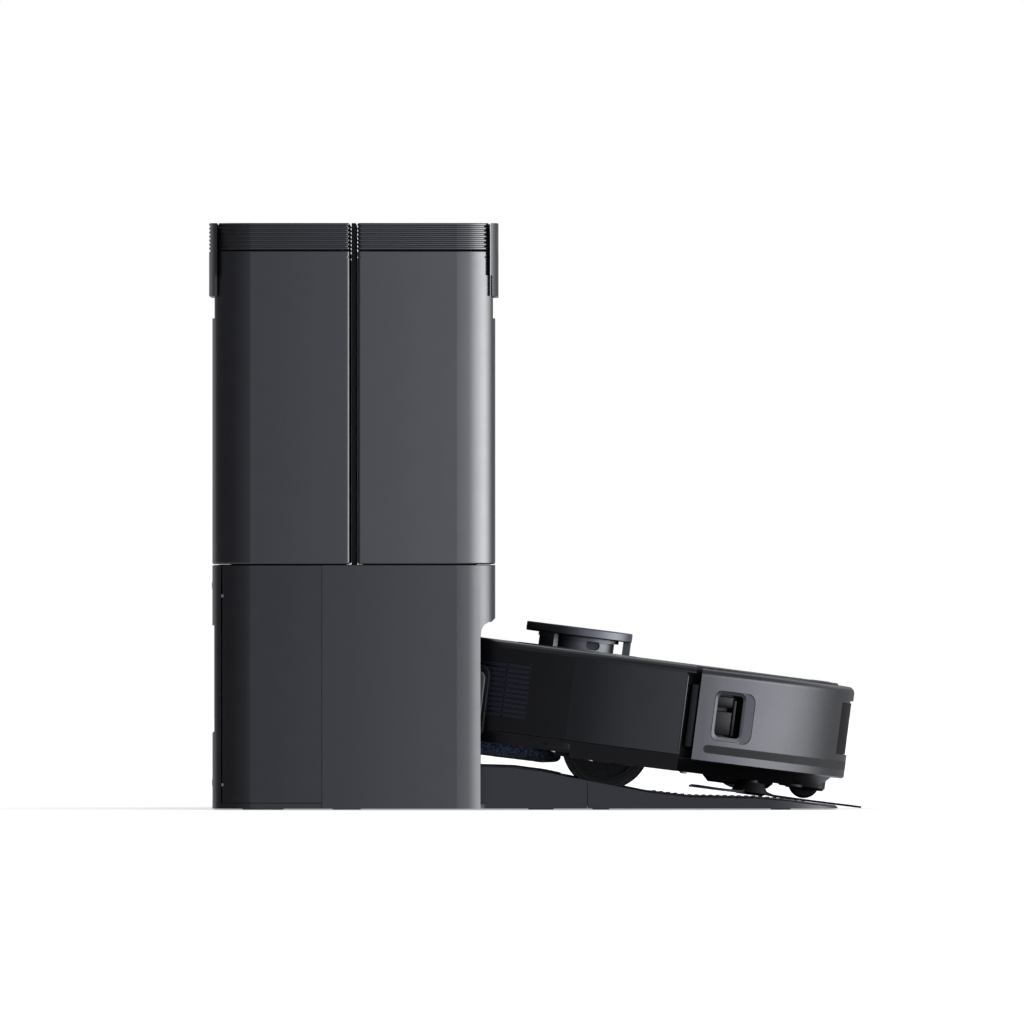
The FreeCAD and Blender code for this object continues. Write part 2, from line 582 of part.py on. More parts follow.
def robot_chassis():
    def rear_pan(foot, u0, u1):
        outer = turned([(0, foot), (171, foot), (174.4, SHELL_FOOT - 0.6), (0, SHELL_FOOT - 0.6)])
        inner = turned([(0, foot + 2.6), (169, foot + 2.6), (172, SHELL_FOOT), (0, SHELL_FOOT)])
        inner = inner.cut(box(MOP_BAY_U - 2.6, MOP_BAY_U, -200, 200, -5, MOP_BAY_V + 2.6))
        return outer.cut(inner).common(box(u0, u1, -200, 200, -5, 30))
    front = turned([(0, 0), (157.6, 0), (167, 9.6), (167, 10.0), (CHASSIS_R, 10.6),
                    (CHASSIS_R, SHELL_TOP), (CHASSIS_R - 2.4, SHELL_TOP), (CHASSIS_R - 2.4, 12.6),
                    (160, 8.0), (154, 2.6), (0, 2.6)])
    front = front.common(box(56, 200, -200, 200, -5, 80))
    pan = fused(rear_pan(MOP_BAY_V, -200, MOP_BAY_U), rear_pan(0.0, MOP_BAY_U - 2.6, 57), front)
    add, cut = [], []
    for side in (1, -1):
        y = side * MOP_Y
        add.append(rod(MOP_R + 4.5, 18 - MOP_BAY_V, (MOP_U, y, MOP_BAY_V)))
        cut.append(rod(MOP_R + 2.5, 21, (MOP_U, y, -5)))
        cut.append(rod(9.0, 40, (MOP_U, y, -5)))
        flip = (lambda s: s) if side > 0 else mirrored
        add.append(flip(wheel_well_box(2.0, 66).cut(box(-200, 200, 0, 200, -6, 0))))
        cut.append(flip(wheel_well_box(0.0, 64)))
    add.append(box(BRUSH_U - 27, BRUSH_U + 27, -BRUSH_HALF - 7, BRUSH_HALF + 7, 0, 40))
    cut.append(box(BRUSH_U - 25, BRUSH_U + 25, -BRUSH_HALF - 5, BRUSH_HALF + 5, -5, 38))
    cut.append(box(BRUSH_U - 30, BRUSH_U - 10, -30, 30, 26, 60))
    boss = Part.makeCone(12.9, 14.6, 2.0, V(CASTER_U, 0, -2.0))
    add.append(fused(boss, rod(14.6, 20, (CASTER_U, 0, 0))))
    cut.append(rod(12.2, 19.6, (CASTER_U, 0, -3)))
    cut.append(rod(3.15, 30, (CASTER_U, 0, -5)))
    flank = turned([(0, 0), (157.6, 0), (167, 9.6), (167, 14), (0, 14)])
    add.append(rod(19.0, 14, (SIDE_BRUSH_U, SIDE_BRUSH_Y, 0)).common(flank))
    cut.append(rod(5.4, 30, (SIDE_BRUSH_U, SIDE_BRUSH_Y, -5)))
    outline = fused(disc_slice(174.5, -6, 80, -200, 57), disc_slice(168.0, -6, 10.4, 56, 200),
                    disc_slice(CHASSIS_R, 10.3, 80, 56, 200))
    cut.append(side_window_solid(4.5, 16.0))
    whole = fused(pan, *add).common(outline)
    return whole.cut(Part.makeCompound(cut))


def robot_shell():
    ring = tube(BODY_R, BODY_R - SHELL_WALL, SHELL_TOP - SHELL_FOOT, (0, 0, SHELL_FOOT))
    keep = box(-200, SHELL_EDGE_U, -200, 200, 0, SHELL_TOP + 2)
    keep = keep.makeFillet(6.0, [e for e in keep.Edges if e.BoundBox.YLength > 300
                                 and e.CenterOfMass.x > 0 and e.CenterOfMass.z > SHELL_TOP])
    shell = ring.common(keep)
    vents = box(VENT_U0, VENT_U1, -200, 200, VENT_V0, VENT_V1)
    seam = tube(BODY_R + 1, BODY_R - 0.5, 60, (0, 0, SHELL_FOOT - 1)).common(
        box(-22.3, -21.7, -200, 200, 0, 80))
    shelf = tube(BODY_R - SHELL_WALL, BODY_R - 8, 2.0, (0, 0, SHELL_TOP - 2.0)).common(keep)
    return fused(shell, shelf).cut(vents).cut(seam)


def vent_louvres():
    """Slatted air outlets let into both sides of the shell."""
    play = 0.15
    keep = box(VENT_U0 + play, VENT_U1 - play, -200, 200, VENT_V0 + play, VENT_V1 - play)
    backing = tube(BODY_R - 1.8, BODY_R - 2.6, VENT_V1 - VENT_V0, (0, 0, VENT_V0))
    pitch = (VENT_V1 - VENT_V0 - 2 * play) / LOUVRES
    slats = []
    for row in range(LOUVRES):
        v = VENT_V0 + play + row * pitch
        slats.append(tube(BODY_R - 0.2, BODY_R - 2.4, pitch * 0.55, (0, 0, v + 0.3)))
    split = box(-69.9, -68.5, -200, 200, VENT_V0, VENT_V1)
    return fused(backing, *[slat.cut(split) for slat in slats]).common(keep)


def robot_top_cover():
    rear = turned([(0, SHELL_TOP + 0.3), (BODY_R, SHELL_TOP + 0.3), (BODY_R, SHELL_TOP + 1.0),
                   (BODY_R - 1.2, SHELL_TOP + 3.2), (BODY_R - 3.4, BODY_TOP - 0.7),
                   (BODY_R - 6.5, BODY_TOP), (0, BODY_TOP)])
    rear = rear.common(box(-200, 62.2, -200, 200, 60, 80))
    front = disc_slice(CHASSIS_R, SHELL_TOP + 0.3, BODY_TOP, 61.4, 200)
    front = front.makeFillet(1.0, level_edges(front, BODY_TOP, lambda p: p.x > 70))
    plate_ = fused(rear, front)
    flap_top = box(FLAP_U0 - 1.2, FLAP_U1 + 0.8, -FLAP_HALF - 0.8, FLAP_HALF + 0.8, 71.2, 90)
    flap_top = flap_top.makeFillet(12.0, upright_edges(flap_top, lambda p: p.x > 100))
    flap_low = box(FLAP_U0 - 1.2, FLAP_U1 - 3, -FLAP_HALF + 3, FLAP_HALF - 3, 60, 90)
    flap_heel = box(FLAP_U0 - 1.2, FLAP_U0 + 8, -FLAP_HALF - 0.8, FLAP_HALF + 0.8, 60, 90)
    cuts = [flap_top, flap_low, flap_heel, rod(DRUM_R + 0.9, 20, (TURRET_U, 0, 65)),
            rod(BUTTON_R + 0.4, 20, (BUTTON_U, 0, 65)), post_holes()]
    return plate_.cut(Part.makeCompound(cuts))


def turret_posts(v0, v1, grow=0.0):
    posts = []
    ring = tube(TURRET_R - 0.4 + grow, TURRET_R - 5.2 - grow, v1 - v0, (0, 0, v0))
    for angle in POST_ANGLES:
        half = 6.5 + grow
        slice_ = box(0, 60, -half, half, v0, v1)
        slice_.rotate(V(0, 0, 0), Z_AXIS, angle)
        post = ring.common(slice_)
        post.translate(V(TURRET_U, 0, 0))
        posts.append(post)
    return posts


def post_holes():
    return Part.makeCompound(turret_posts(65, 80, 0.5))


def turret_cap():
    disc = rod(TURRET_R, CAP_TOP - CAP_FOOT, (TURRET_U, 0, CAP_FOOT))
    disc = disc.makeFillet(1.0, level_edges(disc, CAP_TOP) + level_edges(disc, CAP_FOOT))
    dish = rod(TURRET_R - 5, 2.0, (TURRET_U, 0, CAP_TOP - 0.5))
    skirt = tube(DRUM_R + 3.0, DRUM_R + 1.0, 3.0, (TURRET_U, 0, CAP_FOOT - 2.4))
    return fused(disc.cut(dish), skirt, *turret_posts(71.4, CAP_FOOT + 1.5))


def lidar_drum():
    drum = rod(DRUM_R, DRUM_TOP - 72.3, (TURRET_U, 0, 72.3))
    drum = drum.makeFillet(0.8, level_edges(drum, DRUM_TOP))
    slot = box(-4.9, 4.9, -30, -15, 76.0, 82.6)
    slot = slot.makeFillet(3.2, [e for e in slot.Edges if e.BoundBox.YLength > 10])
    slot.translate(V(TURRET_U + 10.5, 0, 0))
    return fused(drum, rod(9, 12, (TURRET_U, 0, 60.4))).cut(slot)


def dustbin_lid():
    flap = box(FLAP_U0, FLAP_U1, -FLAP_HALF, FLAP_HALF, 71.5, BODY_TOP)
    flap = flap.makeFillet(11.4, upright_edges(flap, lambda p: p.x > 100))
    flap = flap.makeFillet(0.8, level_edges(flap, BODY_TOP))
    pull = rod(20, 3, (FLAP_U1 + 8, 0, BODY_TOP - 1.3))
    return flap.cut(pull)


def power_button():
    cap = rod(BUTTON_R, 5.0, (BUTTON_U, 0, BODY_TOP - 4.6))
    return cap.makeFillet(0.6, level_edges(cap, BODY_TOP + 0.4))


# ================================================================ robot: bumper and what it carries
def bumper():
    outer = turned([(0, LIP_V), (BODY_R - 1.0, LIP_V), (BODY_R, LIP_V + 1.0), (BODY_R, BUMPER_TOP),
                    (0, BUMPER_TOP)])
    outer = outer.makeFillet(4.6, level_edges(outer, BUMPER_TOP))
    inner = turned([(0, 5), (172.2, 5), (172.2, 11.0), (169.2, 11.0), (169.2, 13.0), (171.6, 17.0),
                    (171.6, 67.0), (170.0, 70.6), (168.2, 71.2), (168.2, 80), (0, 80)])
    shell = outer.cut(inner).common(box(BUMPER_EDGE_U, 250, -200, 200, 0, 80))
    groove = tube(BODY_R + 2, BODY_R - 1.2, STRIP_V1 - STRIP_V0, (0, 0, STRIP_V0))
    groove = groove.common(strip_outline(0.0))
    front = box(150, 200, -52, 52, 25.5, 63.5).cut(rod(BODY_R - 2.0, 60, (0, 0, 10)))
    facet = top_prism([(8, BODY_R - 2.8), (12.6, BODY_R - 2.8), (FACET_EDGE, BODY_R - 1.7),
                       (FACET_EDGE, BODY_R + 9), (8, BODY_R + 9)], 0, 80)
    outline = box(-FACET_EDGE, FACET_EDGE, 150, 190, WINDOW_V - 18.2, WINDOW_V + 17.6)
    outline = outline.makeFillet(7.0, [e for e in outline.Edges if e.BoundBox.YLength > 30])
    facet = facet.common(outline)
    facet.rotate(V(0, 0, 0), Z_AXIS, -window_bearing())
    return shell.cut(groove).cut(front).cut(side_window_solid(0.25, 12.0)).cut(mirrored(facet))


def strip_outline(play):
    """Where the rubber strip lies, seen from the side: a band with rounded rear ends."""
    middle, half = (STRIP_V0 + STRIP_V1) / 2, (STRIP_V1 - STRIP_V0) / 2 - play
    end = STRIP_EDGE_U + half + play
    band = box(end, 200, -200, 200, middle - half, middle + half)
    return fused(band, rod(half, 400, (end, -200, middle), Y_AXIS))


def window_bearing():
    return math.degrees(math.asin(WINDOW_U / BODY_R))


def side_window_solid(play, depth):
    """The upright round-cornered block that the bumper's side window fills."""
    block = box(-12.6 - play, 12.6 + play, -depth, 20, -17.4 - play, 17.4 + play)
    block = block.makeFillet(5.0 + play, [e for e in block.Edges if e.BoundBox.YLength > 10])
    block.translate(V(0, BODY_R, WINDOW_V))
    block.rotate(V(0, 0, 0), Z_AXIS, -window_bearing())
    return mirrored(block)


def side_sensor():
    """Wall sensor behind the right-hand window: a deep frame round two dark lenses."""
    shell = tube(BODY_R - 0.3, BODY_R - 9.5, 60, (0, 0, 12)).common(side_window_solid(0.0, 12.0))
    pocket = side_window_solid(-2.2, 7.5)
    return shell.cut(pocket)


def front_sensor():
    lens = tube(BODY_R - 1.2, BODY_R - 1.9, 37.4, (0, 0, 25.8))
    return lens.common(box(150, 200, -51.7, 51.7, 20, 62))


def bumper_strip():
    strip = tube(BODY_R + 0.1, BODY_R - 1.1, STRIP_V1 - STRIP_V0, (0, 0, STRIP_V0))
    return strip.common(strip_outline(0.15))


# ================================================================ robot: wheels and caster
def wheel_arm():
    """Left suspension arm with its gearbox; the right one is its mirror image."""
    inner_y = WHEEL_Y - WHEEL_WIDTH / 2 - 1.2
    arm = box(AXLE_U - 14, ARM_PIVOT_U, inner_y - 4.4, inner_y, 10, 34)
    eye = rod(8, 4.4, (ARM_PIVOT_U, inner_y - 4.4, ARM_PIVOT_V), Y_AXIS)
    hub = rod(17, 4.4, (AXLE_U, inner_y - 4.4, AXLE_V), Y_AXIS)
    stub = rod(3.0, 9.0, (AXLE_U, inner_y - 0.5, AXLE_V), Y_AXIS)
    return fused(arm, eye, hub, stub)


def wheel_hub():
    y0 = WHEEL_Y - WHEEL_WIDTH / 2
    disc = rod(WHEEL_R - 5.2, WHEEL_WIDTH - 1.0, (AXLE_U, y0 + 0.5, AXLE_V), Y_AXIS)
    dish = rod(WHEEL_R - 8.0, 3.5, (AXLE_U, y0 + WHEEL_WIDTH - 3.0, AXLE_V), Y_AXIS)
    cap = rod(6.5, 3.0, (AXLE_U, y0 + WHEEL_WIDTH - 4, AXLE_V), Y_AXIS)
    bore = rod(3.05, 8.6, (AXLE_U, y0 - 0.5, AXLE_V), Y_AXIS)
    spokes = []
    for step in range(5):
        spoke = box(5, WHEEL_R - 7, -1.6, 1.6, 0, 2.0)
        spoke.rotate(V(0, 0, 0), Z_AXIS, step * 72)
        spoke.rotate(V(0, 0, 0), X_AXIS, -90)
        spoke.translate(V(AXLE_U, y0 + WHEEL_WIDTH - 3.2, AXLE_V))
        spokes.append(spoke)
    return fused(disc.cut(dish), cap, *spokes).cut(bore)


def wheel_tyre():
    y0 = WHEEL_Y - WHEEL_WIDTH / 2
    tyre = tube(WHEEL_R, WHEEL_R - 5.2, WHEEL_WIDTH, (AXLE_U, y0, AXLE_V), Y_AXIS)
    cuts = []
    for step in range(30):
        lug = box(WHEEL_R - 1.5, WHEEL_R + 2, -1.1, 1.1, -1, WHEEL_WIDTH * 0.42)
        lug.rotate(V(0, 0, 0), Z_AXIS, step * 12)
        other = lug.translated(V(0, 0, WHEEL_WIDTH * 0.58 + 1))
        other.rotate(V(0, 0, 0), Z_AXIS, 6)
        for cutter in (lug, other):
            cutter.rotate(V(0, 0, 0), X_AXIS, -90)
            cutter.translate(V(AXLE_U, y0, AXLE_V))
            cuts.append(cutter)
    return tyre.cut(Part.makeCompound(cuts))


def caster_fork():
    disc = rod(11.0, 2.3, (CASTER_U, 0, 14.0))
    stem = rod(3.1, 8.0, (CASTER_U, 0, 16.0))
    cheeks = []
    for y in (-6.2, 6.2):
        cheeks.append(box(CASTER_U - 4.6, CASTER_U + 3.4, y - 1.0, y + 1.0, -0.8, 15))
    return fused(disc, stem, *cheeks).cut(
        rod(1.55, 20, (CASTER_U - 0.6, -10, CASTER_V), Y_AXIS))


def caster_wheel():
    wheel = rod(CASTER_R, 9.6, (CASTER_U - 0.6, -4.8, CASTER_V), Y_AXIS)
    wheel = wheel.makeFillet(2.2, [e for e in wheel.Edges if e.BoundBox.YLength < 1e-6
                                   and e.BoundBox.XLength > CASTER_R])
    return fused(wheel, rod(1.5, 14.0, (CASTER_U - 0.6, -7.0, CASTER_V), Y_AXIS))


# ================================================================ robot: brushes and mops
def main_brush():
    core = rod(11, 2 * BRUSH_HALF - 2, (BRUSH_U, -BRUSH_HALF + 1, BRUSH_V), Y_AXIS)
    shaft = rod(3, 2 * BRUSH_HALF + 8, (BRUSH_U, -BRUSH_HALF - 4, BRUSH_V), Y_AXIS)
    fins = []
    for step in range(6):
        fin = box(9, BRUSH_R, -1.1, 1.1, 0, 2 * BRUSH_HALF - 6)
        fin.rotate(V(0, 0, 0), Z_AXIS, step * 60)
        fin.rotate(V(0, 0, 0), X_AXIS, -90)
        fin.translate(V(BRUSH_U, -BRUSH_HALF + 3, BRUSH_V))
        fins.append(fin)
    return fused(core, shaft, *fins)


def main_brush_cover():
    """Snap-in frame that keeps the roller in and rugs out."""
    frame = box(BRUSH_U - 24.6, BRUSH_U + 24.6, -BRUSH_HALF - 4.6, BRUSH_HALF + 4.6, -4.6, -0.2)
    frame = frame.makeChamfer(3.6, level_edges(frame, -4.6))
    mouth = box(BRUSH_U - 21.0, BRUSH_U + 21.0, -BRUSH_HALF - 0.4, BRUSH_HALF + 0.4, -9, 5)
    ends = []
    for y in (-BRUSH_HALF - 2.5, BRUSH_HALF + 2.5):
        ends.append(box(BRUSH_U - 20, BRUSH_U + 20, y - 1.6, y + 1.6, -3.0, 19.0))
    bearing = rod(3.05, 2 * BRUSH_HALF + 20, (BRUSH_U, -BRUSH_HALF - 10, BRUSH_V), Y_AXIS)
    return fused(frame.cut(mouth), *ends).cut(bearing)


def side_brush():
    hub = turned([(0, -10.2), (9.0, -10.2), (13.0, -8.2), (9.0, -1.4), (0, -1.4)])
    shaft = rod(5.0, 12, (0, 0, -2))
    arms = []
    for step in range(SIDE_BRUSH_ARMS):
        arm = side_prism([(6, -3.6), (12, -6.6), (17, -8.0), (40, -8.3), (SIDE_BRUSH_REACH, -8.2),
                          (SIDE_BRUSH_REACH, -9.6), (40, -9.8), (17, -9.7), (6, -8.6)], -4.2, 4.2)
        taper = top_prism([(0, -3.4), (40, -1.6), (58, -2.6), (SIDE_BRUSH_REACH, -4.2),
                           (SIDE_BRUSH_REACH - 4, 4.2), (58, 2.6), (40, 1.6), (0, 3.4)], -20, 10)
        arm = arm.common(taper)
        arm.rotate(V(0, 0, 0), Z_AXIS, step * 360.0 / SIDE_BRUSH_ARMS)
        arms.append(arm)
    brush = fused(hub, shaft, *arms)
    brush.translate(V(SIDE_BRUSH_U, SIDE_BRUSH_Y, 0))
    return brush


def mop_carrier():
    """Bridge above both mops that lifts them; it carries the two mop gearboxes."""
    bridge = box(MOP_U - 14, MOP_U + 14, -MOP_Y, MOP_Y, 28, 33)
    housings = []
    for y in (-MOP_Y, MOP_Y):
        housings.append(rod(24, 7, (MOP_U, y, 27)))
        housings.append(rod(8.4, 16.5, (MOP_U, y, 11.0)))
    return fused(bridge, *housings)


def mop_plate():
    disc = rod(MOP_R - 4, 3.0, (MOP_U, MOP_Y, PAD_TOP + 0.2))
    return fused(disc, rod(16, 3.2, (MOP_U, MOP_Y, PAD_TOP + 3.0)))


def mop_pad():
    pad = rod(MOP_R, PAD_TOP - PAD_FOOT, (MOP_U, MOP_Y, PAD_FOOT))
    return pad.makeFillet(3.5, level_edges(pad, PAD_FOOT) + level_edges(pad, PAD_TOP))


# ================================================================ robot: inside
def dustbin():
    u0, u1, half, v0, v1 = BRUSH_U - 60, 132.0, 76.0, 41.0, 70.6
    outer = box(u0, u1, -half, half, v0, v1)
    outer = outer.makeFillet(6.0, upright_edges(outer))
    inner = box(u0 + 14, u1 - 2, -half + 2, half - 2, v0 + 2, v1 + 5)
    inner = inner.makeFillet(4.0, upright_edges(inner))
    throat = box(u0 + 20, BRUSH_U - 12, -28, 28, v0 - 5, v0 + 3)
    return outer.cut(inner).cut(throat)


def robot_fan():
    body = rod(30, 30, (18, 58, 6))
    body = body.makeFillet(4, level_edges(body, 36))
    return fused(body, box(18, 38, 50, 66, 28, 36))


def battery_pack():
    pack = box(-152, -78, -72, 72, 44, 66)
    return pack.makeFillet(4, [e for e in pack.Edges if e.BoundBox.YLength > 100])


# ================================================================ list of nodes
NODES = {
    "base_pan": base_pan,
    "ramp_plate": ramp_plate,
    "ramp_treads": ramp_treads,
    "washboard_tray": washboard_tray,
    "station_feet": station_feet,
    "front_housing": front_housing,
    "rear_cover": rear_cover,
    "bay_liner": bay_liner,
    "ir_window": ir_window,
    "charging_contacts": charging_contacts,
    "tank_bay_frame": tank_bay_frame,
    "dust_bag": dust_bag,
    "dust_bag_collar": dust_bag_collar,
    "suction_fan_housing": suction_fan_housing,
    "suction_impeller": suction_impeller,
    "water_pumps": water_pumps,
    "power_board": power_board,
    "power_inlet": power_inlet,
    "dust_bag_door": dust_bag_door,
}
for side_name, is_front in (("front", True), ("rear", False)):
    NODES[side_name + "_tank_shell"] = lambda f=is_front: tank_shell(f)
    NODES[side_name + "_tank_seal"] = lambda f=is_front: tank_seal(f)
    NODES[side_name + "_tank_pin"] = lambda f=is_front: tank_hinge_pin(f)
    NODES[side_name + "_tank_lid"] = lambda f=is_front: tank_lid(f)
    NODES[side_name + "_tank_latch"] = lambda f=is_front: tank_latch(f)

ROBOT_NODES = {
    "robot_chassis": robot_chassis,
    "robot_shell": robot_shell,
    "vent_louvres": vent_louvres,
    "robot_top_cover": robot_top_cover,
    "dustbin": dustbin,
    "robot_fan": robot_fan,
    "battery_pack": battery_pack,
    "dustbin_lid": dustbin_lid,
    "power_button": power_button,
    "bumper": bumper,
    "bumper_strip": bumper_strip,
    "side_sensor": side_sensor,
    "front_sensor": front_sensor,
    "turret_cap": turret_cap,
    "lidar_drum": lidar_drum,
    "left_wheel_arm": wheel_arm,
    "left_wheel_hub": wheel_hub,
    "left_tyre": wheel_tyre,
    "right_wheel_arm": lambda: mirrored(wheel_arm()),
    "right_wheel_hub": lambda: mirrored(wheel_hub()),
    "right_tyre": lambda: mirrored(wheel_tyre()),
    "caster_fork": caster_fork,
    "caster_wheel": caster_wheel,
    "main_brush": main_brush,
    "main_brush_cover": main_brush_cover,
    "side_brush": side_brush,
    "mop_carrier": mop_carrier,
    "left_mop_plate": mop_plate,
    "left_mop_pad": mop_pad,
    "right_mop_plate": lambda: mirrored(mop_plate()),
    "right_mop_pad": lambda: mirrored(mop_pad()),
}


def solids_only(shape):
    solids = shape.Solids
    return solids[0] if len(solids) == 1 else Part.makeCompound(solids)


def main():
    os.makedirs("parts", exist_ok=True)
    makers = dict(NODES)
    for name, maker in ROBOT_NODES.items():
        makers[name] = lambda m=maker: dock(m())
    for name, maker in makers.items():
        shape = solids_only(maker())
        shape.exportStep(f"parts/{name}.step")
        print(f"{name}: {len(shape.Solids)} solid(s), {shape.Volume / 1000:.1f} cm3, "
              f"{'valid' if shape.isValid() else 'INVALID'}")
    print(len(makers), "nodes")


if __name__ == "__main__":
    main()
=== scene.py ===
"""Looks for the robot vacuum parked on its base station. Metres, in the CAD model's own frame.

+X is the way the robot drives out, +Y is its left side and +Z is up. The camera looks along +Y.
"""

import json
import math
import random

import bmesh
import bpy
from mathutils import Euler, Matrix, Vector, noise


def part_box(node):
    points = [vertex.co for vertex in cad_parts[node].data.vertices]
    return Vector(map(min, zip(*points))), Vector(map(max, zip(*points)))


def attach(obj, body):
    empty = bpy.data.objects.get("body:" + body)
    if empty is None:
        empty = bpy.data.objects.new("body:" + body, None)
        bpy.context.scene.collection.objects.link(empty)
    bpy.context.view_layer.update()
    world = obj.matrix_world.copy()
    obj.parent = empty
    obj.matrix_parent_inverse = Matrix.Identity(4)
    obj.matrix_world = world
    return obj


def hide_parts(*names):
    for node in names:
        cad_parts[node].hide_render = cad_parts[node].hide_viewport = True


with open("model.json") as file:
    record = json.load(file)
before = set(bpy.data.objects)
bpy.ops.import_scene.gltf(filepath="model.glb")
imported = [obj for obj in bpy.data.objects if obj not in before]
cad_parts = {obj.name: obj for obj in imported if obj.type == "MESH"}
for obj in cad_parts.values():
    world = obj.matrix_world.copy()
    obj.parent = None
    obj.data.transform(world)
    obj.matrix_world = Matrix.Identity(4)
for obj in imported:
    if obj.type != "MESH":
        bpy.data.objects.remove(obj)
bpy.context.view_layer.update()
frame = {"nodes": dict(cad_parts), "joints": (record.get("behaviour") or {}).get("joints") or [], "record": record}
NODES = frame["nodes"]

# ---------------------------------------------------------------- camera and studio
CAMERA_DISTANCE = 32.0  # so far off that the picture has almost no perspective
VIEW_WIDTH = 0.7168  # width of the picture in the plane through VIEW_CENTRE
VIEW_CENTRE = Vector((0.1108, -0.150, 0.2084))
SENSOR = 36.0  # width in millimetres
LIGHT_GAIN = 11.0  # a colour ramp ends at 1, so light is scaled down for it and back up after
# bearing in degrees, 0 behind the camera and 90 at +X, then the red, green and blue light from it
LIGHT_BY_BEARING = [
    (-180, 0.25, 0.25, 0.26), (-155, 0.42, 0.42, 0.45), (-136, 0.50, 0.50, 0.53),
    (-124, 0.12, 0.12, 0.13), (-93, 0.11, 0.11, 0.12), (-58, 0.12, 0.12, 0.14),
    (-41, 0.19, 0.20, 0.23), (-14, 0.30, 0.32, 0.38), (-6, 0.47, 0.50, 0.59),
    (0, 0.95, 1.00, 1.18), (6, 1.80, 1.90, 2.18), (14, 2.15, 2.25, 2.55), (42, 2.80, 2.90, 3.20),
    (60, 6.70, 6.80, 7.20), (80, 9.60, 9.70, 10.2), (93, 9.80, 9.90, 10.3), (106, 6.20, 6.25, 6.50),
    (120, 1.70, 1.72, 1.80), (132, 0.45, 0.46, 0.49), (150, 0.30, 0.30, 0.32), (180, 0.25, 0.25, 0.26),
]
SKY_LIGHT = (0.85, 0.87, 0.92, 1.0)
# the sine of a direction's height, where the lit band fades in and where it fades out
BAND_FADE_IN = (-0.30, -0.10)
BAND_FADE_OUT = (0.15, 0.40)
WHITE = (1.0, 1.0, 1.0, 1.0)
FLOOR_RADIUS = 14.0
FLOOR_DROP = 0.0002  # how far the floor lies below z = 0
FLOOR_GLOW = 0.40


# ================================================================ node helpers
MIX_SHARE, MIX_FIRST, MIX_SECOND, MIX_RESULT = 0, 6, 7, 2  # sockets of a Mix node for colours


class Graph:
    """A small wrapper that adds and links shader nodes."""

    def __init__(self, tree):
        self.tree = tree
        tree.nodes.clear()

    def add(self, kind, **settings):
        node = self.tree.nodes.new("ShaderNode" + kind)
        for key, value in settings.items():
            setattr(node, key, value)
        return node

    def set(self, node, key, value):
        socket = node.inputs[key]
        if isinstance(value, bpy.types.NodeSocket):
            self.tree.links.new(value, socket)
        else:
            socket.default_value = value

    def math(self, operation, a, b=0.0, c=None):
        node = self.add("Math", operation=operation)
        self.set(node, 0, a)
        self.set(node, 1, b)
        if c is not None:
            self.set(node, 2, c)
        return node.outputs[0]

    def span(self, value, low, high, to_low, to_high, smooth=False):
        node = self.add("MapRange", interpolation_type="SMOOTHSTEP" if smooth else "LINEAR")
        for key, number in zip(("Value", "From Min", "From Max", "To Min", "To Max"),
                               (value, low, high, to_low, to_high)):
            self.set(node, key, number)
        return node.outputs[0]

    def mix(self, share, a, b):
        node = self.add("Mix", data_type="RGBA")
        self.set(node, MIX_SHARE, share)
        self.set(node, MIX_FIRST, a)
        self.set(node, MIX_SECOND, b)
        return node.outputs[MIX_RESULT]

    def noise(self, vector, scale, detail=2.0, rough=0.5):
        node = self.add("TexNoise")
        self.set(node, "Vector", vector)
        self.set(node, "Scale", scale)
        self.set(node, "Detail", detail)
        self.set(node, "Roughness", rough)
        return node.outputs[0]


def rgb(red, green, blue):
    """An sRGB colour from 0 to 255 as linear values with alpha."""
    def linear(value):
        value /= 255.0
        return value / 12.92 if value <= 0.04045 else ((value + 0.055) / 1.055) ** 2.4
    return (linear(red), linear(green), linear(blue), 1.0)


def scaled(colour, factor):
    return (colour[0] * factor, colour[1] * factor, colour[2] * factor, 1.0)


# ================================================================ materials
def new_material(name):
    material = bpy.data.materials.new(name)
    material.use_nodes = True
    graph = Graph(material.node_tree)
    output = graph.add("OutputMaterial")
    shader = graph.add("BsdfPrincipled")
    graph.set(output, "Surface", shader.outputs[0])
    return material, graph, shader


def add_bump(graph, shader, height, strength, distance):
    bump = graph.add("Bump")
    graph.set(bump, "Height", height)
    graph.set(bump, "Strength", strength)
    graph.set(bump, "Distance", distance)
    graph.set(shader, "Normal", bump.outputs[0])


EDGE_RADIUS = 0.0006
EDGE_SAMPLES = 4
RUBBED_EDGE = (0.11, 0.11, 0.12, 1.0)


def worn_edges(graph, colour, wear):
    """Lightens a colour along the edges, where handling rubs it."""
    rounded = graph.add("Bevel")
    rounded.samples = EDGE_SAMPLES
    rounded.inputs["Radius"].default_value = EDGE_RADIUS
    agreement = graph.add("VectorMath", operation="DOT_PRODUCT")
    graph.set(agreement, 0, rounded.outputs[0])
    graph.set(agreement, 1, graph.add("NewGeometry").outputs["Normal"])
    at_edge, away_from_edge = 0.80, 0.99  # cosine of the turn that the rounding gives the surface
    share = graph.span(agreement.outputs["Value"], at_edge, away_from_edge, wear, 0.0)
    return graph.mix(share, colour, RUBBED_EDGE)


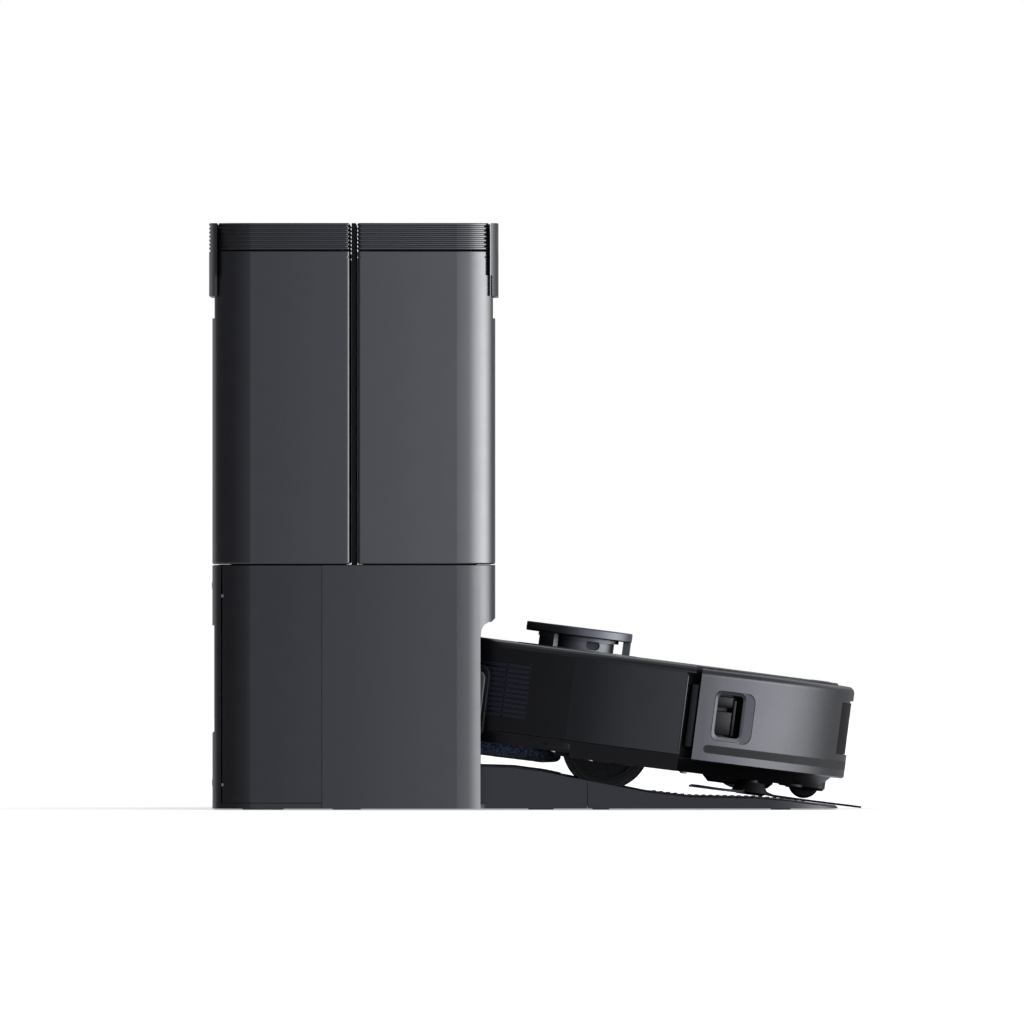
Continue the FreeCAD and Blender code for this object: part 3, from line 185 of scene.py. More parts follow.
def moulded(name, colour, rough, grain=0.0005, depth=0.000008, mottle=0.10, specular=0.5,
            wear=0.12):
    """Spark-textured moulded plastic: fine grain, faint flow marks, rubbed edges, uneven sheen."""
    material, graph, shader = new_material(name)
    place = graph.add("TexCoord").outputs["Object"]
    flow_scale, patch_scale, sheen_spread = 14.0, 85.0, 0.025
    flow = graph.noise(place, flow_scale, 3.0)
    patches = graph.noise(place, patch_scale, 4.0)
    fine = graph.noise(place, 1.0 / grain, 2.0, 0.6)
    tint = graph.span(flow, 0.3, 0.7, 0.0, 1.0)
    body = graph.mix(tint, scaled(colour, 1.0 - mottle), scaled(colour, 1.0 + mottle))
    graph.set(shader, "Base Color", worn_edges(graph, body, wear))
    graph.set(shader, "Roughness", graph.span(patches, 0.25, 0.75, rough - sheen_spread,
                                              rough + sheen_spread))
    add_bump(graph, shader, fine, 0.5, depth)
    shader.inputs["Specular IOR Level"].default_value = specular
    return material


def brushed(name, colour, rough):
    """Metallic paint over fine upright drawn lines, with a little sparkle in it."""
    material, graph, shader = new_material(name)
    place = graph.add("TexCoord").outputs["Object"]
    across_lines, along_lines, sparkle_scale, cloud_scale = 2400.0, 60.0, 2600.0, 30.0
    flake, sheen_spread, line_strength, line_depth = 0.10, 0.04, 0.22, 0.000006
    squeeze = graph.add("Mapping")
    graph.set(squeeze, "Vector", place)
    squeeze.inputs["Scale"].default_value = (across_lines, across_lines, along_lines)
    lines = graph.noise(squeeze.outputs[0], 1.0, 3.0, 0.7)
    sparkle = graph.noise(place, sparkle_scale, 1.0)
    cloud = graph.noise(place, cloud_scale, 2.0)
    tint = graph.math("MULTIPLY_ADD", lines, 0.5, graph.math("MULTIPLY", cloud, 0.3))
    tint = graph.math("MULTIPLY_ADD", sparkle, 0.2, tint)
    graph.set(shader, "Base Color", graph.mix(graph.span(tint, 0.35, 0.65, 0.0, 1.0),
                                              scaled(colour, 1.0 - flake),
                                              scaled(colour, 1.0 + flake)))
    graph.set(shader, "Roughness", graph.span(lines, 0.3, 0.7, rough - sheen_spread,
                                              rough + sheen_spread))
    add_bump(graph, shader, lines, line_strength, line_depth)
    shader.inputs["Metallic"].default_value = 0.95
    return material


def rubber(name, colour, rough=0.7, specular=0.3):
    return moulded(name, colour, rough, grain=0.0008, depth=0.00003, mottle=0.2,
                   specular=specular, wear=0.2)


def glossy(name, colour, rough, specular):
    """Polished infrared-clear plastic, very faintly smeared."""
    material, graph, shader = new_material(name)
    place = graph.add("TexCoord").outputs["Object"]
    smear_scale, smear_dulls, smear_lightens = 55.0, 0.12, 1.6
    smear = graph.noise(place, smear_scale, 5.0, 0.65)
    graph.set(shader, "Roughness", graph.span(smear, 0.35, 0.75, rough, rough + smear_dulls))
    graph.set(shader, "Base Color",
              graph.mix(graph.span(smear, 0.4, 0.8, 0.0, 1.0), colour,
                        scaled(colour, smear_lightens)))
    shader.inputs["Specular IOR Level"].default_value = specular
    return material


def metal(name, colour, rough):
    material, graph, shader = new_material(name)
    place = graph.add("TexCoord").outputs["Object"]
    scratch = graph.noise(place, 900.0, 4.0, 0.7)
    graph.set(shader, "Roughness", graph.span(scratch, 0.3, 0.7, rough, rough + 0.15))
    graph.set(shader, "Base Color", graph.mix(scratch, colour, scaled(colour, 0.8)))
    shader.inputs["Metallic"].default_value = 1.0
    return material


def microfibre(name, dark, light, fleck):
    """Looped microfibre: short tufts a millimetre or so across, with painted light on their tips and painted shade
    in the gaps between them.
    """
    material, graph, shader = new_material(name)
    place = graph.add("TexCoord").outputs["Object"]
    wobble_scale, wobble_reach = 260.0, 0.0016
    loop_scale, strand_scale, fleck_scale, pile_depth = 620.0, 2400.0, 900.0, 0.0009
    warp = graph.add("VectorMath", operation="MULTIPLY_ADD")
    wobble = graph.add("TexNoise")
    graph.set(wobble, "Vector", place)
    graph.set(wobble, "Scale", wobble_scale)
    graph.set(warp, 0, wobble.outputs["Color"])
    graph.set(warp, 1, (wobble_reach, wobble_reach, wobble_reach))
    graph.set(warp, 2, place)
    loops = graph.add("TexVoronoi", feature="F1")
    graph.set(loops, "Vector", warp.outputs[0])
    graph.set(loops, "Scale", loop_scale)
    tuft = graph.span(loops.outputs["Distance"], 0.1, 0.75, 1.0, 0.0, True)
    strands = graph.noise(warp.outputs[0], strand_scale, 3.0, 0.7)
    pile = graph.math("MULTIPLY_ADD", strands, 0.45, graph.math("MULTIPLY", tuft, 0.7))
    # painted light and shade: the colour runs from the shaded colour in the low gaps to the lit colour on the high
    # tips, following the pile height
    tone = graph.mix(graph.span(pile, 0.25, 0.9, 0.0, 1.0), dark, light)
    bright = graph.span(graph.noise(place, fleck_scale, 2.0, 0.8), 0.62, 0.72, 0.0, 0.5)
    graph.set(shader, "Base Color", graph.mix(graph.math("MULTIPLY", bright, tuft), tone, fleck))
    shader.inputs["Roughness"].default_value = 0.95
    shader.inputs["Specular IOR Level"].default_value = 0.1
    shader.inputs["Sheen Weight"].default_value = 0.25
    shader.inputs["Sheen Roughness"].default_value = 0.5
    add_bump(graph, shader, pile, 0.9, pile_depth)
    return material


def fleece_paper(name, colour):
    """Thin non-woven bag cloth: pressed random fibres with a grid of small weld dimples, and painted shade in
    broad fold-like patches.
    """
    material, graph, shader = new_material(name)
    place = graph.add("TexCoord").outputs["Object"]
    fibre_scale, fold_shade_scale, dimple_scale, pit_depth = 1400.0, 30.0, 330.0, 0.0002
    fibres = graph.noise(place, fibre_scale, 5.0, 0.75)
    fold_shade = graph.noise(place, fold_shade_scale, 3.0)
    dimples = graph.add("TexVoronoi", feature="F1")
    graph.set(dimples, "Vector", place)
    graph.set(dimples, "Scale", dimple_scale)
    dimples.inputs["Randomness"].default_value = 0.15
    pit = graph.span(dimples.outputs["Distance"], 0.12, 0.30, 0.0, 1.0, True)
    tone = graph.mix(graph.span(fibres, 0.3, 0.7, 0.0, 1.0), scaled(colour, 0.72), colour)
    # painted shade: broad patches of the cloth are darkened down to 0.55 of its colour, as shade in folds would be
    graph.set(shader, "Base Color", graph.mix(fold_shade, scaled(colour, 0.55), tone))
    shader.inputs["Roughness"].default_value = 0.92
    shader.inputs["Sheen Weight"].default_value = 0.2
    add_bump(graph, shader, graph.math("MULTIPLY_ADD", fibres, 0.5, pit), 0.7, pit_depth)
    return material


MATERIALS = {
    "housing_dark": moulded("housing_dark", rgb(13, 13, 16), 0.25, specular=0.55),
    "tank_dark": moulded("tank_dark", rgb(14, 14, 17), 0.23, specular=0.74),
    "lid_dark": moulded("lid_dark", rgb(13, 13, 16), 0.25, specular=0.60),
    "latch_dark": moulded("latch_dark", rgb(13, 13, 16), 0.26, specular=0.70),
    "black_plastic": moulded("black_plastic", rgb(9, 9, 10), 0.5, specular=0.18),
    "ramp_slate": moulded("ramp_slate", rgb(26, 26, 31), 0.42, grain=0.0009, depth=0.00003,
                          specular=0.35),
    "tray_grey": moulded("tray_grey", rgb(58, 60, 66), 0.45, specular=0.35),
    "rubber_black": rubber("rubber_black", rgb(13, 13, 14)),
    "tyre_black": rubber("tyre_black", rgb(27, 27, 29), specular=0.35),
    "robot_charcoal": moulded("robot_charcoal", rgb(11, 11, 13), 0.33, specular=0.20),
    "chassis_charcoal": moulded("chassis_charcoal", rgb(9, 9, 11), 0.40, specular=0.12),
    "bumper_metallic": brushed("bumper_metallic", rgb(54, 54, 56), 0.30),
    "turret_metallic": brushed("turret_metallic", rgb(80, 81, 84), 0.40),
    "window_black": glossy("window_black", rgb(6, 6, 8), 0.24, specular=0.10),
    "window_matt": glossy("window_matt", rgb(7, 7, 9), 0.34, specular=0.04),
    "louvre_blue": moulded("louvre_blue", rgb(17, 17, 30), 0.35, specular=0.25),
    # the mop's two pile colours are a shaded and a lit copy of one blue: painted shade in the gaps and painted
    # light on the tips
    "mop_blue": microfibre("mop_blue", rgb(40, 54, 78), rgb(96, 118, 152), rgb(165, 180, 204)),
    "bag_paper": fleece_paper("bag_paper", rgb(214, 210, 200)),
    "steel": metal("steel", rgb(190, 190, 195), 0.25),
    "contact_metal": metal("contact_metal", rgb(214, 205, 180), 0.18),
    "brush_blue": rubber("brush_blue", rgb(26, 30, 46), 0.5),
    "pcb": moulded("pcb", rgb(18, 74, 46), 0.4),
    "bin_smoke": moulded("bin_smoke", rgb(30, 30, 33), 0.25),
    "battery_wrap": moulded("battery_wrap", rgb(36, 52, 92), 0.35),
    "inner_grey": moulded("inner_grey", rgb(86, 88, 92), 0.5),
}
SLOT_OF = {s["node"]: s["material_slot"] for s in frame["record"]["subparts"]}
# pieces that wear a variant of their slot's material
DRESSED_AS = {"robot_chassis": "chassis_charcoal", "front_sensor": "window_matt"}


def dress_cad_nodes():
    for name, node in NODES.items():
        node.data.materials.clear()
        node.data.materials.append(MATERIALS[DRESSED_AS.get(name, SLOT_OF[name])])


# ================================================================ places taken from the frame
JOINTS = {joint["name"]: joint for joint in frame["joints"]}
ROBOT_UP = Vector(JOINTS["lidar_spin"]["axis"]).normalized()
ROBOT_LEFT = Vector((0, 1, 0))
ROBOT_AHEAD = ROBOT_LEFT.cross(ROBOT_UP)
AXLE = Vector(JOINTS["left_wheel_spin"]["pos_m"]) * Vector((1, 0, 1))
AXLE_AHEAD, AXLE_UP = 0.0060, 0.0113  # the axle's place in the robot's own frame
PARKED = Matrix((ROBOT_AHEAD, ROBOT_LEFT, ROBOT_UP)).transposed().to_4x4()
PARKED.translation = AXLE - AXLE_AHEAD * ROBOT_AHEAD - AXLE_UP * ROBOT_UP
BODY_R = 0.175  # the robot's outer radius
WINDOW_BEARING = math.asin(0.0888 / BODY_R)  # of the side window, from straight out sideways
WINDOW_HEIGHT = 0.0423  # of the side window's middle


def in_robot(point):
    """A point of the shared frame, as the robot's own frame has it: ahead, left and up."""
    return PARKED.inverted() @ Vector(point)


# ================================================================ mesh helpers
def new_piece(name, shape, body, slot, smooth_angle=35.0):
    """Makes a piece of a bmesh, on a body and with the look of a material slot."""
    mesh = mesh_of(shape, name, smooth_angle)
    piece = bpy.data.objects.new(name, mesh)
    bpy.context.scene.collection.objects.link(piece)
    mesh.materials.append(MATERIALS[slot])
    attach(piece, body)
    return piece


def mesh_of(shape, name, smooth_angle):
    """Turns a bmesh into a mesh, smooth except across its sharper edges."""
    bmesh.ops.recalc_face_normals(shape, faces=shape.faces)
    mesh = bpy.data.meshes.new(name)
    for face in shape.faces:
        face.smooth = True
    limit = math.radians(smooth_angle)
    for edge in shape.edges:
        edge.smooth = len(edge.link_faces) == 2 and edge.calc_face_angle(0.0) < limit
    shape.to_mesh(mesh)
    shape.free()
    return mesh


ON_AXIS = 1e-7


def add_turned(shape, outline, matrix, segments=40):
    """Adds a surface of revolution about Z to shape, from its (radius, height) outline."""
    rings = []
    for radius, height in outline:
        if radius < ON_AXIS:
            rings.append([shape.verts.new(matrix @ Vector((0, 0, height)))])
            continue
        ring = []
        for step in range(segments):
            angle = 2 * math.pi * step / segments
            place = Vector((radius * math.cos(angle), radius * math.sin(angle), height))
            ring.append(shape.verts.new(matrix @ place))
        rings.append(ring)
    for low, high in zip(rings, rings[1:]):
        for step in range(segments):
            after = (step + 1) % segments
            corners = [low[step % len(low)], low[after % len(low)],
                       high[after % len(high)], high[step % len(high)]]
            unique = list(dict.fromkeys(corners))
            if len(unique) > 2:
                shape.faces.new(unique)


def facing_matrix(place, outward):
    """Carries local +Z to the outward direction at a place."""
    turn = Vector(outward).to_track_quat("Z", "Y").to_matrix().to_4x4()
    return Matrix.Translation(Vector(place)) @ turn


def add_screw(shape, place, outward, radius):
    """A pan-head screw with a cross recess."""
    spot = facing_matrix(place, outward)
    head, sunk = 0.45 * radius, 0.0006
    slot_half, slot_reach, slot_floor = 0.14 * radius, 0.62 * radius, 0.35 * head
    floor_share = 0.8
    outline = [(radius, -sunk), (radius, 0.45 * head), (0.86 * radius, 0.85 * head),
               (0.66 * radius, head)]
    rings = []
    steps = 24
    for ring_radius, height in outline:
        rings.append([shape.verts.new(spot @ Vector((ring_radius * math.cos(math.tau * k / steps),
                                                     ring_radius * math.sin(math.tau * k / steps),
                                                     height))) for k in range(steps)])
    for low, high in zip(rings, rings[1:]):
        for k in range(steps):
            shape.faces.new((low[k], low[(k + 1) % steps], high[(k + 1) % steps], high[k]))
    arms = []
    for quarter in range(4):
        turn = Matrix.Rotation(quarter * math.pi / 2, 4, "Z")
        for x, y in ((slot_half, slot_half), (slot_reach, slot_half), (slot_reach, -slot_half)):
            arms.append(turn @ Vector((x, y, 0)))
    arms.sort(key=lambda p: math.atan2(p.y, p.x))
    top = [shape.verts.new(spot @ Vector((p.x, p.y, head))) for p in arms]
    floor = [shape.verts.new(spot @ Vector((p.x * floor_share, p.y * floor_share, slot_floor)))
             for p in arms]
    count = len(arms)
    rim = [shape.edges.get((rings[-1][k], rings[-1][(k + 1) % steps])) for k in range(steps)]
    inner = []
    for k in range(count):
        shape.faces.new((top[k], top[(k + 1) % count], floor[(k + 1) % count], floor[k]))
        inner.append(shape.edges.get((top[k], top[(k + 1) % count])))
    bmesh.ops.bridge_loops(shape, edges=rim + inner)
    shape.faces.new(floor)


def screw_set(name, spots, body, radius):
    shape = bmesh.new()
    for place, outward in spots:
        add_screw(shape, place, outward, radius)
    new_piece(name, shape, body, "steel")


def rounded_rectangle(half_u, half_v, radius, steps):
    """Points round a rectangle with round corners, anticlockwise."""
    points = []
    for index, (su, sv) in enumerate(((1, 1), (-1, 1), (-1, -1), (1, -1))):
        centre = (su * (half_u - radius), sv * (half_v - radius))
        for step in range(steps + 1):
            angle = (index + step / steps) * math.pi / 2
            points.append((centre[0] + radius * math.cos(angle),
                           centre[1] + radius * math.sin(angle)))
    return points


# ================================================================ soft pieces
CLOTH_FRAMES = 20


def swollen_copy(node, name, voxel, shrink, pressure, reach):
    """The CAD solid shrunk, remeshed and blown up by the cloth solver, by at most reach.
    """
    mesh = NODES[node].data.copy()
    mesh.name = name
    piece = bpy.data.objects.new(name, mesh)
    bpy.context.scene.collection.objects.link(piece)
    centre = sum((v.co for v in mesh.vertices), Vector()) / len(mesh.vertices)
    for vertex in mesh.vertices:
        vertex.co = centre + (vertex.co - centre) * shrink
    remesh = piece.modifiers.new("remesh", "REMESH")
    remesh.mode = "VOXEL"
    remesh.voxel_size = voxel
    apply_modifiers(piece)
    start = [vertex.co.copy() for vertex in piece.data.vertices]
    cloth = piece.modifiers.new("cloth", "CLOTH")
    cloth.settings.use_pressure = True
    cloth.settings.uniform_pressure_force = pressure
    cloth.settings.effector_weights.gravity = 0.0
    scene = bpy.context.scene
    for step in range(1, CLOTH_FRAMES + 1):
        scene.frame_set(step)
    apply_modifiers(piece)
    scene.frame_set(1)
    for vertex, before in zip(piece.data.vertices, start):
        move = vertex.co - before
        if move.length > reach:
            vertex.co = before + move.normalized() * reach
    return piece


def apply_modifiers(piece):
    """Replaces a piece's mesh with what its modifiers make of it."""
    depsgraph = bpy.context.evaluated_depsgraph_get()
    depsgraph.update()
    result = bpy.data.meshes.new_from_object(piece.evaluated_get(depsgraph))
    result.name = piece.name
    piece.modifiers.clear()
    old = piece.data
    piece.data = result
    bpy.data.meshes.remove(old)


def finish_soft(piece, node, body, slot):
    """Smooths a soft piece and puts it in the place of its CAD node."""
    subdivide = piece.modifiers.new("subdivide", "SUBSURF")
    subdivide.levels = subdivide.render_levels = 1
    apply_modifiers(piece)
    for polygon in piece.data.polygons:
        polygon.use_smooth = True
    piece.data.materials.clear()
    piece.data.materials.append(MATERIALS[slot])
    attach(piece, body)
    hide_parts(node)


MOP_RIM = 0.062
STITCH_RINGS = (0.034, 0.052)
STITCH_WIDTH = 0.0026
STITCH_DEPTH = 0.0010
FRINGE_STARTS = 0.8  # as a share of the rim
FRINGE_REACH = 0.0010
FRINGE_SCALE = 420.0
NAP_HEIGHT = 0.0005
NAP_SCALE = 300.0
NAP_SHIFT = Vector((7, 3, 5))


def build_mop_pad(side):
    """Round looped-microfibre pad, plump between its stitched rings, with an uneven fringe."""
    node = side + "_mop_pad"
    piece = swollen_copy(node, side + "_mop_cloth", voxel=0.0045, shrink=0.955, pressure=3.0,
                         reach=0.0012)
    centre = Vector(JOINTS[side + "_mop_spin"]["pos_m"])
    for vertex in piece.data.vertices:
        flat = vertex.co - centre
        height = flat.dot(ROBOT_UP)
        out = flat - height * ROBOT_UP
        radius = out.length
        stitch = sum(math.exp(-((radius - ring) / STITCH_WIDTH) ** 2) for ring in STITCH_RINGS)
        tuft = noise.noise(vertex.co * FRINGE_SCALE)
        if height < 0:
            vertex.co += ROBOT_UP * (STITCH_DEPTH * stitch)
        if radius / MOP_RIM > FRINGE_STARTS:
            vertex.co += out.normalized() * FRINGE_REACH * tuft
        vertex.co += ROBOT_UP * NAP_HEIGHT * noise.noise(vertex.co * NAP_SCALE + NAP_SHIFT)
    finish_soft(piece, node, side + "_mop", "mop_blue")


def build_dust_bag():
    """Filled dust bag: swollen between its seams, with soft creases in the thin cloth."""
    broad_scale, fine_scale, fine_share, crease_depth = 38.0, 95.0, 0.5, 0.0022
    piece = swollen_copy("dust_bag", "dust_bag_cloth", voxel=0.006, shrink=0.95, pressure=4.0,
                         reach=0.006)
    low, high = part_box("dust_bag")
    middle = (low + high) / 2
    for vertex in piece.data.vertices:
        point = vertex.co
        crease = noise.noise(point * broad_scale) + fine_share * noise.noise(point * fine_scale)
        inward = (middle - point).normalized()
        vertex.co = point + inward * (crease_depth + crease_depth * crease)
    finish_soft(piece, "dust_bag", "station", "bag_paper")


# ================================================================ brushes
def add_strand(shape, points, radii):
    """Adds a tapering three-sided strand through a few points."""
    rings = []
    for index, (point, radius) in enumerate(zip(points, radii)):
        ahead = points[min(index + 1, len(points) - 1)] - points[max(index - 1, 0)]
        turn = ahead.to_track_quat("Z", "Y").to_matrix()
        ring = []
        for corner in range(3):
            angle = math.tau * corner / 3
            out = Vector((radius * math.cos(angle), radius * math.sin(angle), 0))
            ring.append(shape.verts.new(point + turn @ out))
        rings.append(ring)
    for low, high in zip(rings, rings[1:]):
        for corner in range(3):
            after = (corner + 1) % 3
            shape.faces.new((low[corner], low[after], high[after], high[corner]))
    shape.faces.new(rings[0][::-1])
    shape.faces.new(rings[-1])


STRAND_RADII = [0.00030, 0.00028, 0.00026, 0.00023, 0.00019, 0.00012]  # from root to tip


def build_side_brush_bristles():
    """A flat fan of nylon bristles along the outer half of each arm."""
    draw = random.Random(11)
    hub = in_robot(JOINTS["side_brush_spin"]["pos_m"])
    arms, strands = 3, 34
    root, tip, height = 0.030, 0.0765, -0.0088
    root_half, tip_flare, tip_round = 0.0012, 0.0046, 0.002
    segments = len(STRAND_RADII) - 1
    shape = bmesh.new()
    for arm in range(arms):
        angle = math.tau * arm / arms
        along = Vector((math.cos(angle), math.sin(angle), 0))
        across = Vector((-math.sin(angle), math.cos(angle), 0))
        for _ in range(strands):
            spread = draw.uniform(-1.0, 1.0)
            start = root + draw.uniform(0.0, 0.006)
            end = tip + draw.uniform(-0.004, 0.0015) - tip_round * spread * spread
            lift = draw.uniform(-0.0003, 0.0006)
            points = []
            for step in range(segments + 1):
                share = step / segments
                reach = start + (end - start) * share
                side = spread * (root_half + tip_flare * share ** 1.4)
                place = Vector((hub.x, hub.y, height + lift * share)) + along * reach + across * side
                points.append(PARKED @ place)
            add_strand(shape, points, STRAND_RADII)
    new_piece("side_brush_bristles", shape, "side_brush", SLOT_OF["side_brush"])


def build_main_brush():
    """Rubber roller with chevron fins, which meet at the middle and draw dirt inwards."""
    centre = in_robot(JOINTS["main_brush_spin"]["pos_m"])
    low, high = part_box("main_brush")
    shaft_half = (high.y - low.y) / 2
    stub, fin_margin, chamfer = 0.005, 0.002, 0.0004
    core_half = shaft_half - stub
    fin_half = core_half - fin_margin
    core, tip, shaft = 0.0108, 0.0208, 0.0030
    fin_root, root_half, tip_half, tip_lag = core - 0.001, 0.0013, 0.0007, 0.16
    fin_outline = ((fin_root, root_half, 0.0), (tip, tip_half, tip_lag),
                   (tip, -tip_half, tip_lag), (fin_root, -root_half, 0.0))
    spin = PARKED @ Matrix.Translation(centre) @ Matrix.Rotation(-math.pi / 2, 4, "X")
    shape = bmesh.new()
    add_turned(shape, [(0, -shaft_half), (shaft, -shaft_half), (shaft, -core_half),
                       (core, -core_half + chamfer), (core, core_half - chamfer), (shaft, core_half),
                       (shaft, shaft_half), (0, shaft_half)], spin)
    fins, steps, sweep = 6, 44, math.radians(75)
    for fin in range(fins):
        rings = []
        for step in range(steps + 1):
            along = -fin_half + 2 * fin_half * step / steps
            lead = math.tau * fin / fins + sweep * abs(along) / fin_half
            ring = []
            for radius, half, lag in fin_outline:
                angle = lead - lag + half / radius
                ring.append(shape.verts.new(spin @ Vector((radius * math.cos(angle),
                                                           radius * math.sin(angle), along))))
            rings.append(ring)
        for first, second in zip(rings, rings[1:]):
            for corner in range(3):
                shape.faces.new((first[corner], first[corner + 1],
                                 second[corner + 1], second[corner]))
        shape.faces.new(rings[0])
        shape.faces.new(rings[-1][::-1])
    piece = new_piece("main_brush_roller", shape, "main_brush", SLOT_OF["main_brush"])
    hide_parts("main_brush")


# ================================================================ small hard parts
CONTACT_AHEAD = -0.1025
CONTACT_HEIGHT = 0.0310


def curved_panel(name, slot, side, bearing, height, half_u, half_v, corner, layers):
    """A round-cornered panel that follows the robot's side; layers are (radius, inset) outwards."""
    columns = 30
    shape = bmesh.new()
    grids = []
    for radius, inset in layers:
        reach_u, reach_v, bend = half_u - inset, half_v - inset, corner - inset
        column_points = []
        for column in range(columns + 1):
            turn = math.cos(math.pi * column / columns)
            u = -reach_u * turn
            past = max(0.0, abs(u) - (reach_u - bend))
            v = reach_v - bend + math.sqrt(max(bend * bend - past * past, 0.0))
            angle = bearing + u / layers[-1][0]
            around = (radius * math.sin(angle), side * radius * math.cos(angle))
            column_points.append([shape.verts.new(PARKED @ Vector((*around, height + sign * v)))
                                  for sign in (-1, 1)])
        grids.append(column_points)
    for inner, outer in zip(grids, grids[1:]):
        for end in (0, 1):
            for column in range(columns):
                shape.faces.new((inner[column][end], inner[column + 1][end],
                                 outer[column + 1][end], outer[column][end]))
        for column in (0, columns):
            shape.faces.new((inner[column][0], inner[column][1],
                             outer[column][1], outer[column][0]))
    for grid in (grids[0], grids[-1]):
        for column in range(columns):
            shape.faces.new((grid[column][0], grid[column + 1][0],
                             grid[column + 1][1], grid[column][1]))
    bmesh.ops.remove_doubles(shape, verts=shape.verts, dist=1e-6)
    new_piece(name, shape, "robot", slot)


def build_side_contacts():
    """Grey plate in a rubber gasket, towards the back of each of the robot's sides."""
    bearing = math.asin(CONTACT_AHEAD / BODY_R)
    for side, label in ((-1, "right"), (1, "left")):
        curved_panel(label + "_contact_gasket", "rubber_black", side, bearing, CONTACT_HEIGHT,
                     half_u=0.0260, half_v=0.0255, corner=0.0075,
                     layers=[(BODY_R - 0.0010, 0.0), (BODY_R + 0.0009, 0.0),
                             (BODY_R + 0.0014, 0.0006)])
        curved_panel(label + "_contact_plate", "inner_grey", side, bearing, CONTACT_HEIGHT,
                     half_u=0.0232, half_v=0.0208, corner=0.0050,
                     layers=[(BODY_R, 0.0), (BODY_R + 0.0017, 0.0), (BODY_R + 0.0021, 0.0005)])


def add_round_box(shape, matrix, half, radius):
    """Adds a box with rounded edges; half holds its three half sizes."""
    made = bmesh.ops.create_cube(shape, size=2.0, matrix=matrix @ Matrix.Diagonal((*half, 1.0)))
    edges = list({edge for vertex in made["verts"] for edge in vertex.link_edges})
    bmesh.ops.bevel(shape, geom=edges, offset=radius, segments=3, profile=0.5, affect="EDGES")


def window_place(across, rise, depth):
    """A place by the side window: across and up from its middle, and in from the surface."""
    angle = WINDOW_BEARING
    out = Vector((math.sin(angle), -math.cos(angle), 0))
    along = Vector((math.cos(angle), math.sin(angle), 0))
    return out * (BODY_R - depth) + along * across + Vector((0, 0, WINDOW_HEIGHT + rise))


def build_wall_sensor():
    """Dark infrared module behind the side window: two lens blocks beside an upright post.

    Each block holds its place across and up the window, then its half width and half height.
    """
    setback, half_depth, edge = 0.0048, 0.0022, 0.0007
    turn = Matrix.Rotation(WINDOW_BEARING, 4, "Z")
    shape = bmesh.new()
    blocks = [(-0.0028, 0.0099, 0.0065, 0.0039), (-0.0028, -0.0051, 0.0065, 0.0084),
              (0.0055, -0.0010, 0.0013, 0.0130)]
    for across, rise, half_width, half_height in blocks:
        spot = PARKED @ Matrix.Translation(window_place(across, rise, setback)) @ turn
        add_round_box(shape, spot, (half_width, half_depth, half_height), edge)
    new_piece("wall_sensor_lenses", shape, "bumper", "window_black")


def build_window_bezel():
    """Bright sloping rim round the side window, wider on its rear side.

    Each layer holds an outline, its shift forwards and up, and its depth below the surface.
    """
    steps = 8
    outer = rounded_rectangle(0.0126, 0.0174, 0.0050, steps)
    inner = rounded_rectangle(0.0108, 0.0150, 0.0040, steps)
    layers = [(outer, 0.0, 0.0, 0.0006), (outer, 0.0, 0.0, -0.0003),
              (inner, 0.0006, 0.0002, 0.0003), (inner, 0.0006, 0.0002, 0.0010)]
    shape = bmesh.new()
    rings = []
    for outline, shift, rise, depth in layers:
        ring = []
        for u, v in outline:
            bearing = WINDOW_BEARING + (u + shift) / BODY_R
            reach = BODY_R - depth
            ring.append(shape.verts.new(PARKED @ Vector((reach * math.sin(bearing),
                                                         -reach * math.cos(bearing),
                                                         WINDOW_HEIGHT + v + rise))))
        rings.append(ring)
    count = len(rings[0])
    for first, second in zip(rings, rings[1:] + rings[:1]):
        for index in range(count):
            after = (index + 1) % count
            shape.faces.new((first[index], first[after], second[after], second[index]))
    new_piece("side_window_bezel", shape, "bumper", "bumper_metallic", smooth_angle=30)


def build_underside_trim():
    """Cliff sensors with their bezels, and the screws that hold the bottom pan."""
    down = -ROBOT_UP
    spots = [(0.138, -0.068), (0.138, 0.068), (0.020, -0.150), (0.020, 0.150)]
    bezels, windows = bmesh.new(), bmesh.new()
    for ahead, left in spots:
        spot = facing_matrix(PARKED @ Vector((ahead, left, 0.0)), down)
        add_turned(bezels, [(0.0082, -0.0010), (0.0082, 0.0005), (0.0076, 0.0010), (0.0062, 0.0010),
                            (0.0058, 0.0003), (0.0058, -0.0010)], spot)
        add_turned(windows, [(0.0057, -0.0008), (0.0057, 0.0002), (0.0035, 0.0004), (0, 0.0004)], spot)
    new_piece("cliff_sensor_bezels", bezels, "robot", "black_plastic")
    new_piece("cliff_sensor_windows", windows, "robot", "window_black")
    screw_radius, bay_height = 0.0026, 0.0032
    pan_screws = [(0.062, -0.128), (0.062, 0.128), (0.030, -0.060), (0.030, 0.060),
                  (-0.004, -0.148), (-0.004, 0.148), (0.030, 0.0)]
    screw_set("bottom_pan_screws", [(PARKED @ Vector((u, y, 0.0)), down) for u, y in pan_screws],
              "robot", screw_radius)
    rear_screws = [(-0.030, -0.158), (-0.030, 0.158), (-0.155, -0.030), (-0.155, 0.030)]
    screw_set("mop_bay_screws", [(PARKED @ Vector((u, y, bay_height)), down) for u, y in rear_screws],
              "robot", screw_radius)


def build_flank_sensors():
    """Small housings on the robot's lower flanks, ahead of the mops."""
    ahead, reach, height = -0.0275, 0.1705, 0.0078
    half_size, edge = (0.0088, 0.0030, 0.0027), 0.0009
    angle = math.asin(ahead / reach)
    shape = bmesh.new()
    for side in (-1, 1):
        place = Vector((reach * math.sin(angle), side * reach * math.cos(angle), height))
        spot = PARKED @ Matrix.Translation(place) @ Matrix.Rotation(-side * angle, 4, "Z")
        add_round_box(shape, spot, half_size, edge)
    new_piece("flank_sensor_housings", shape, "robot", "robot_charcoal")


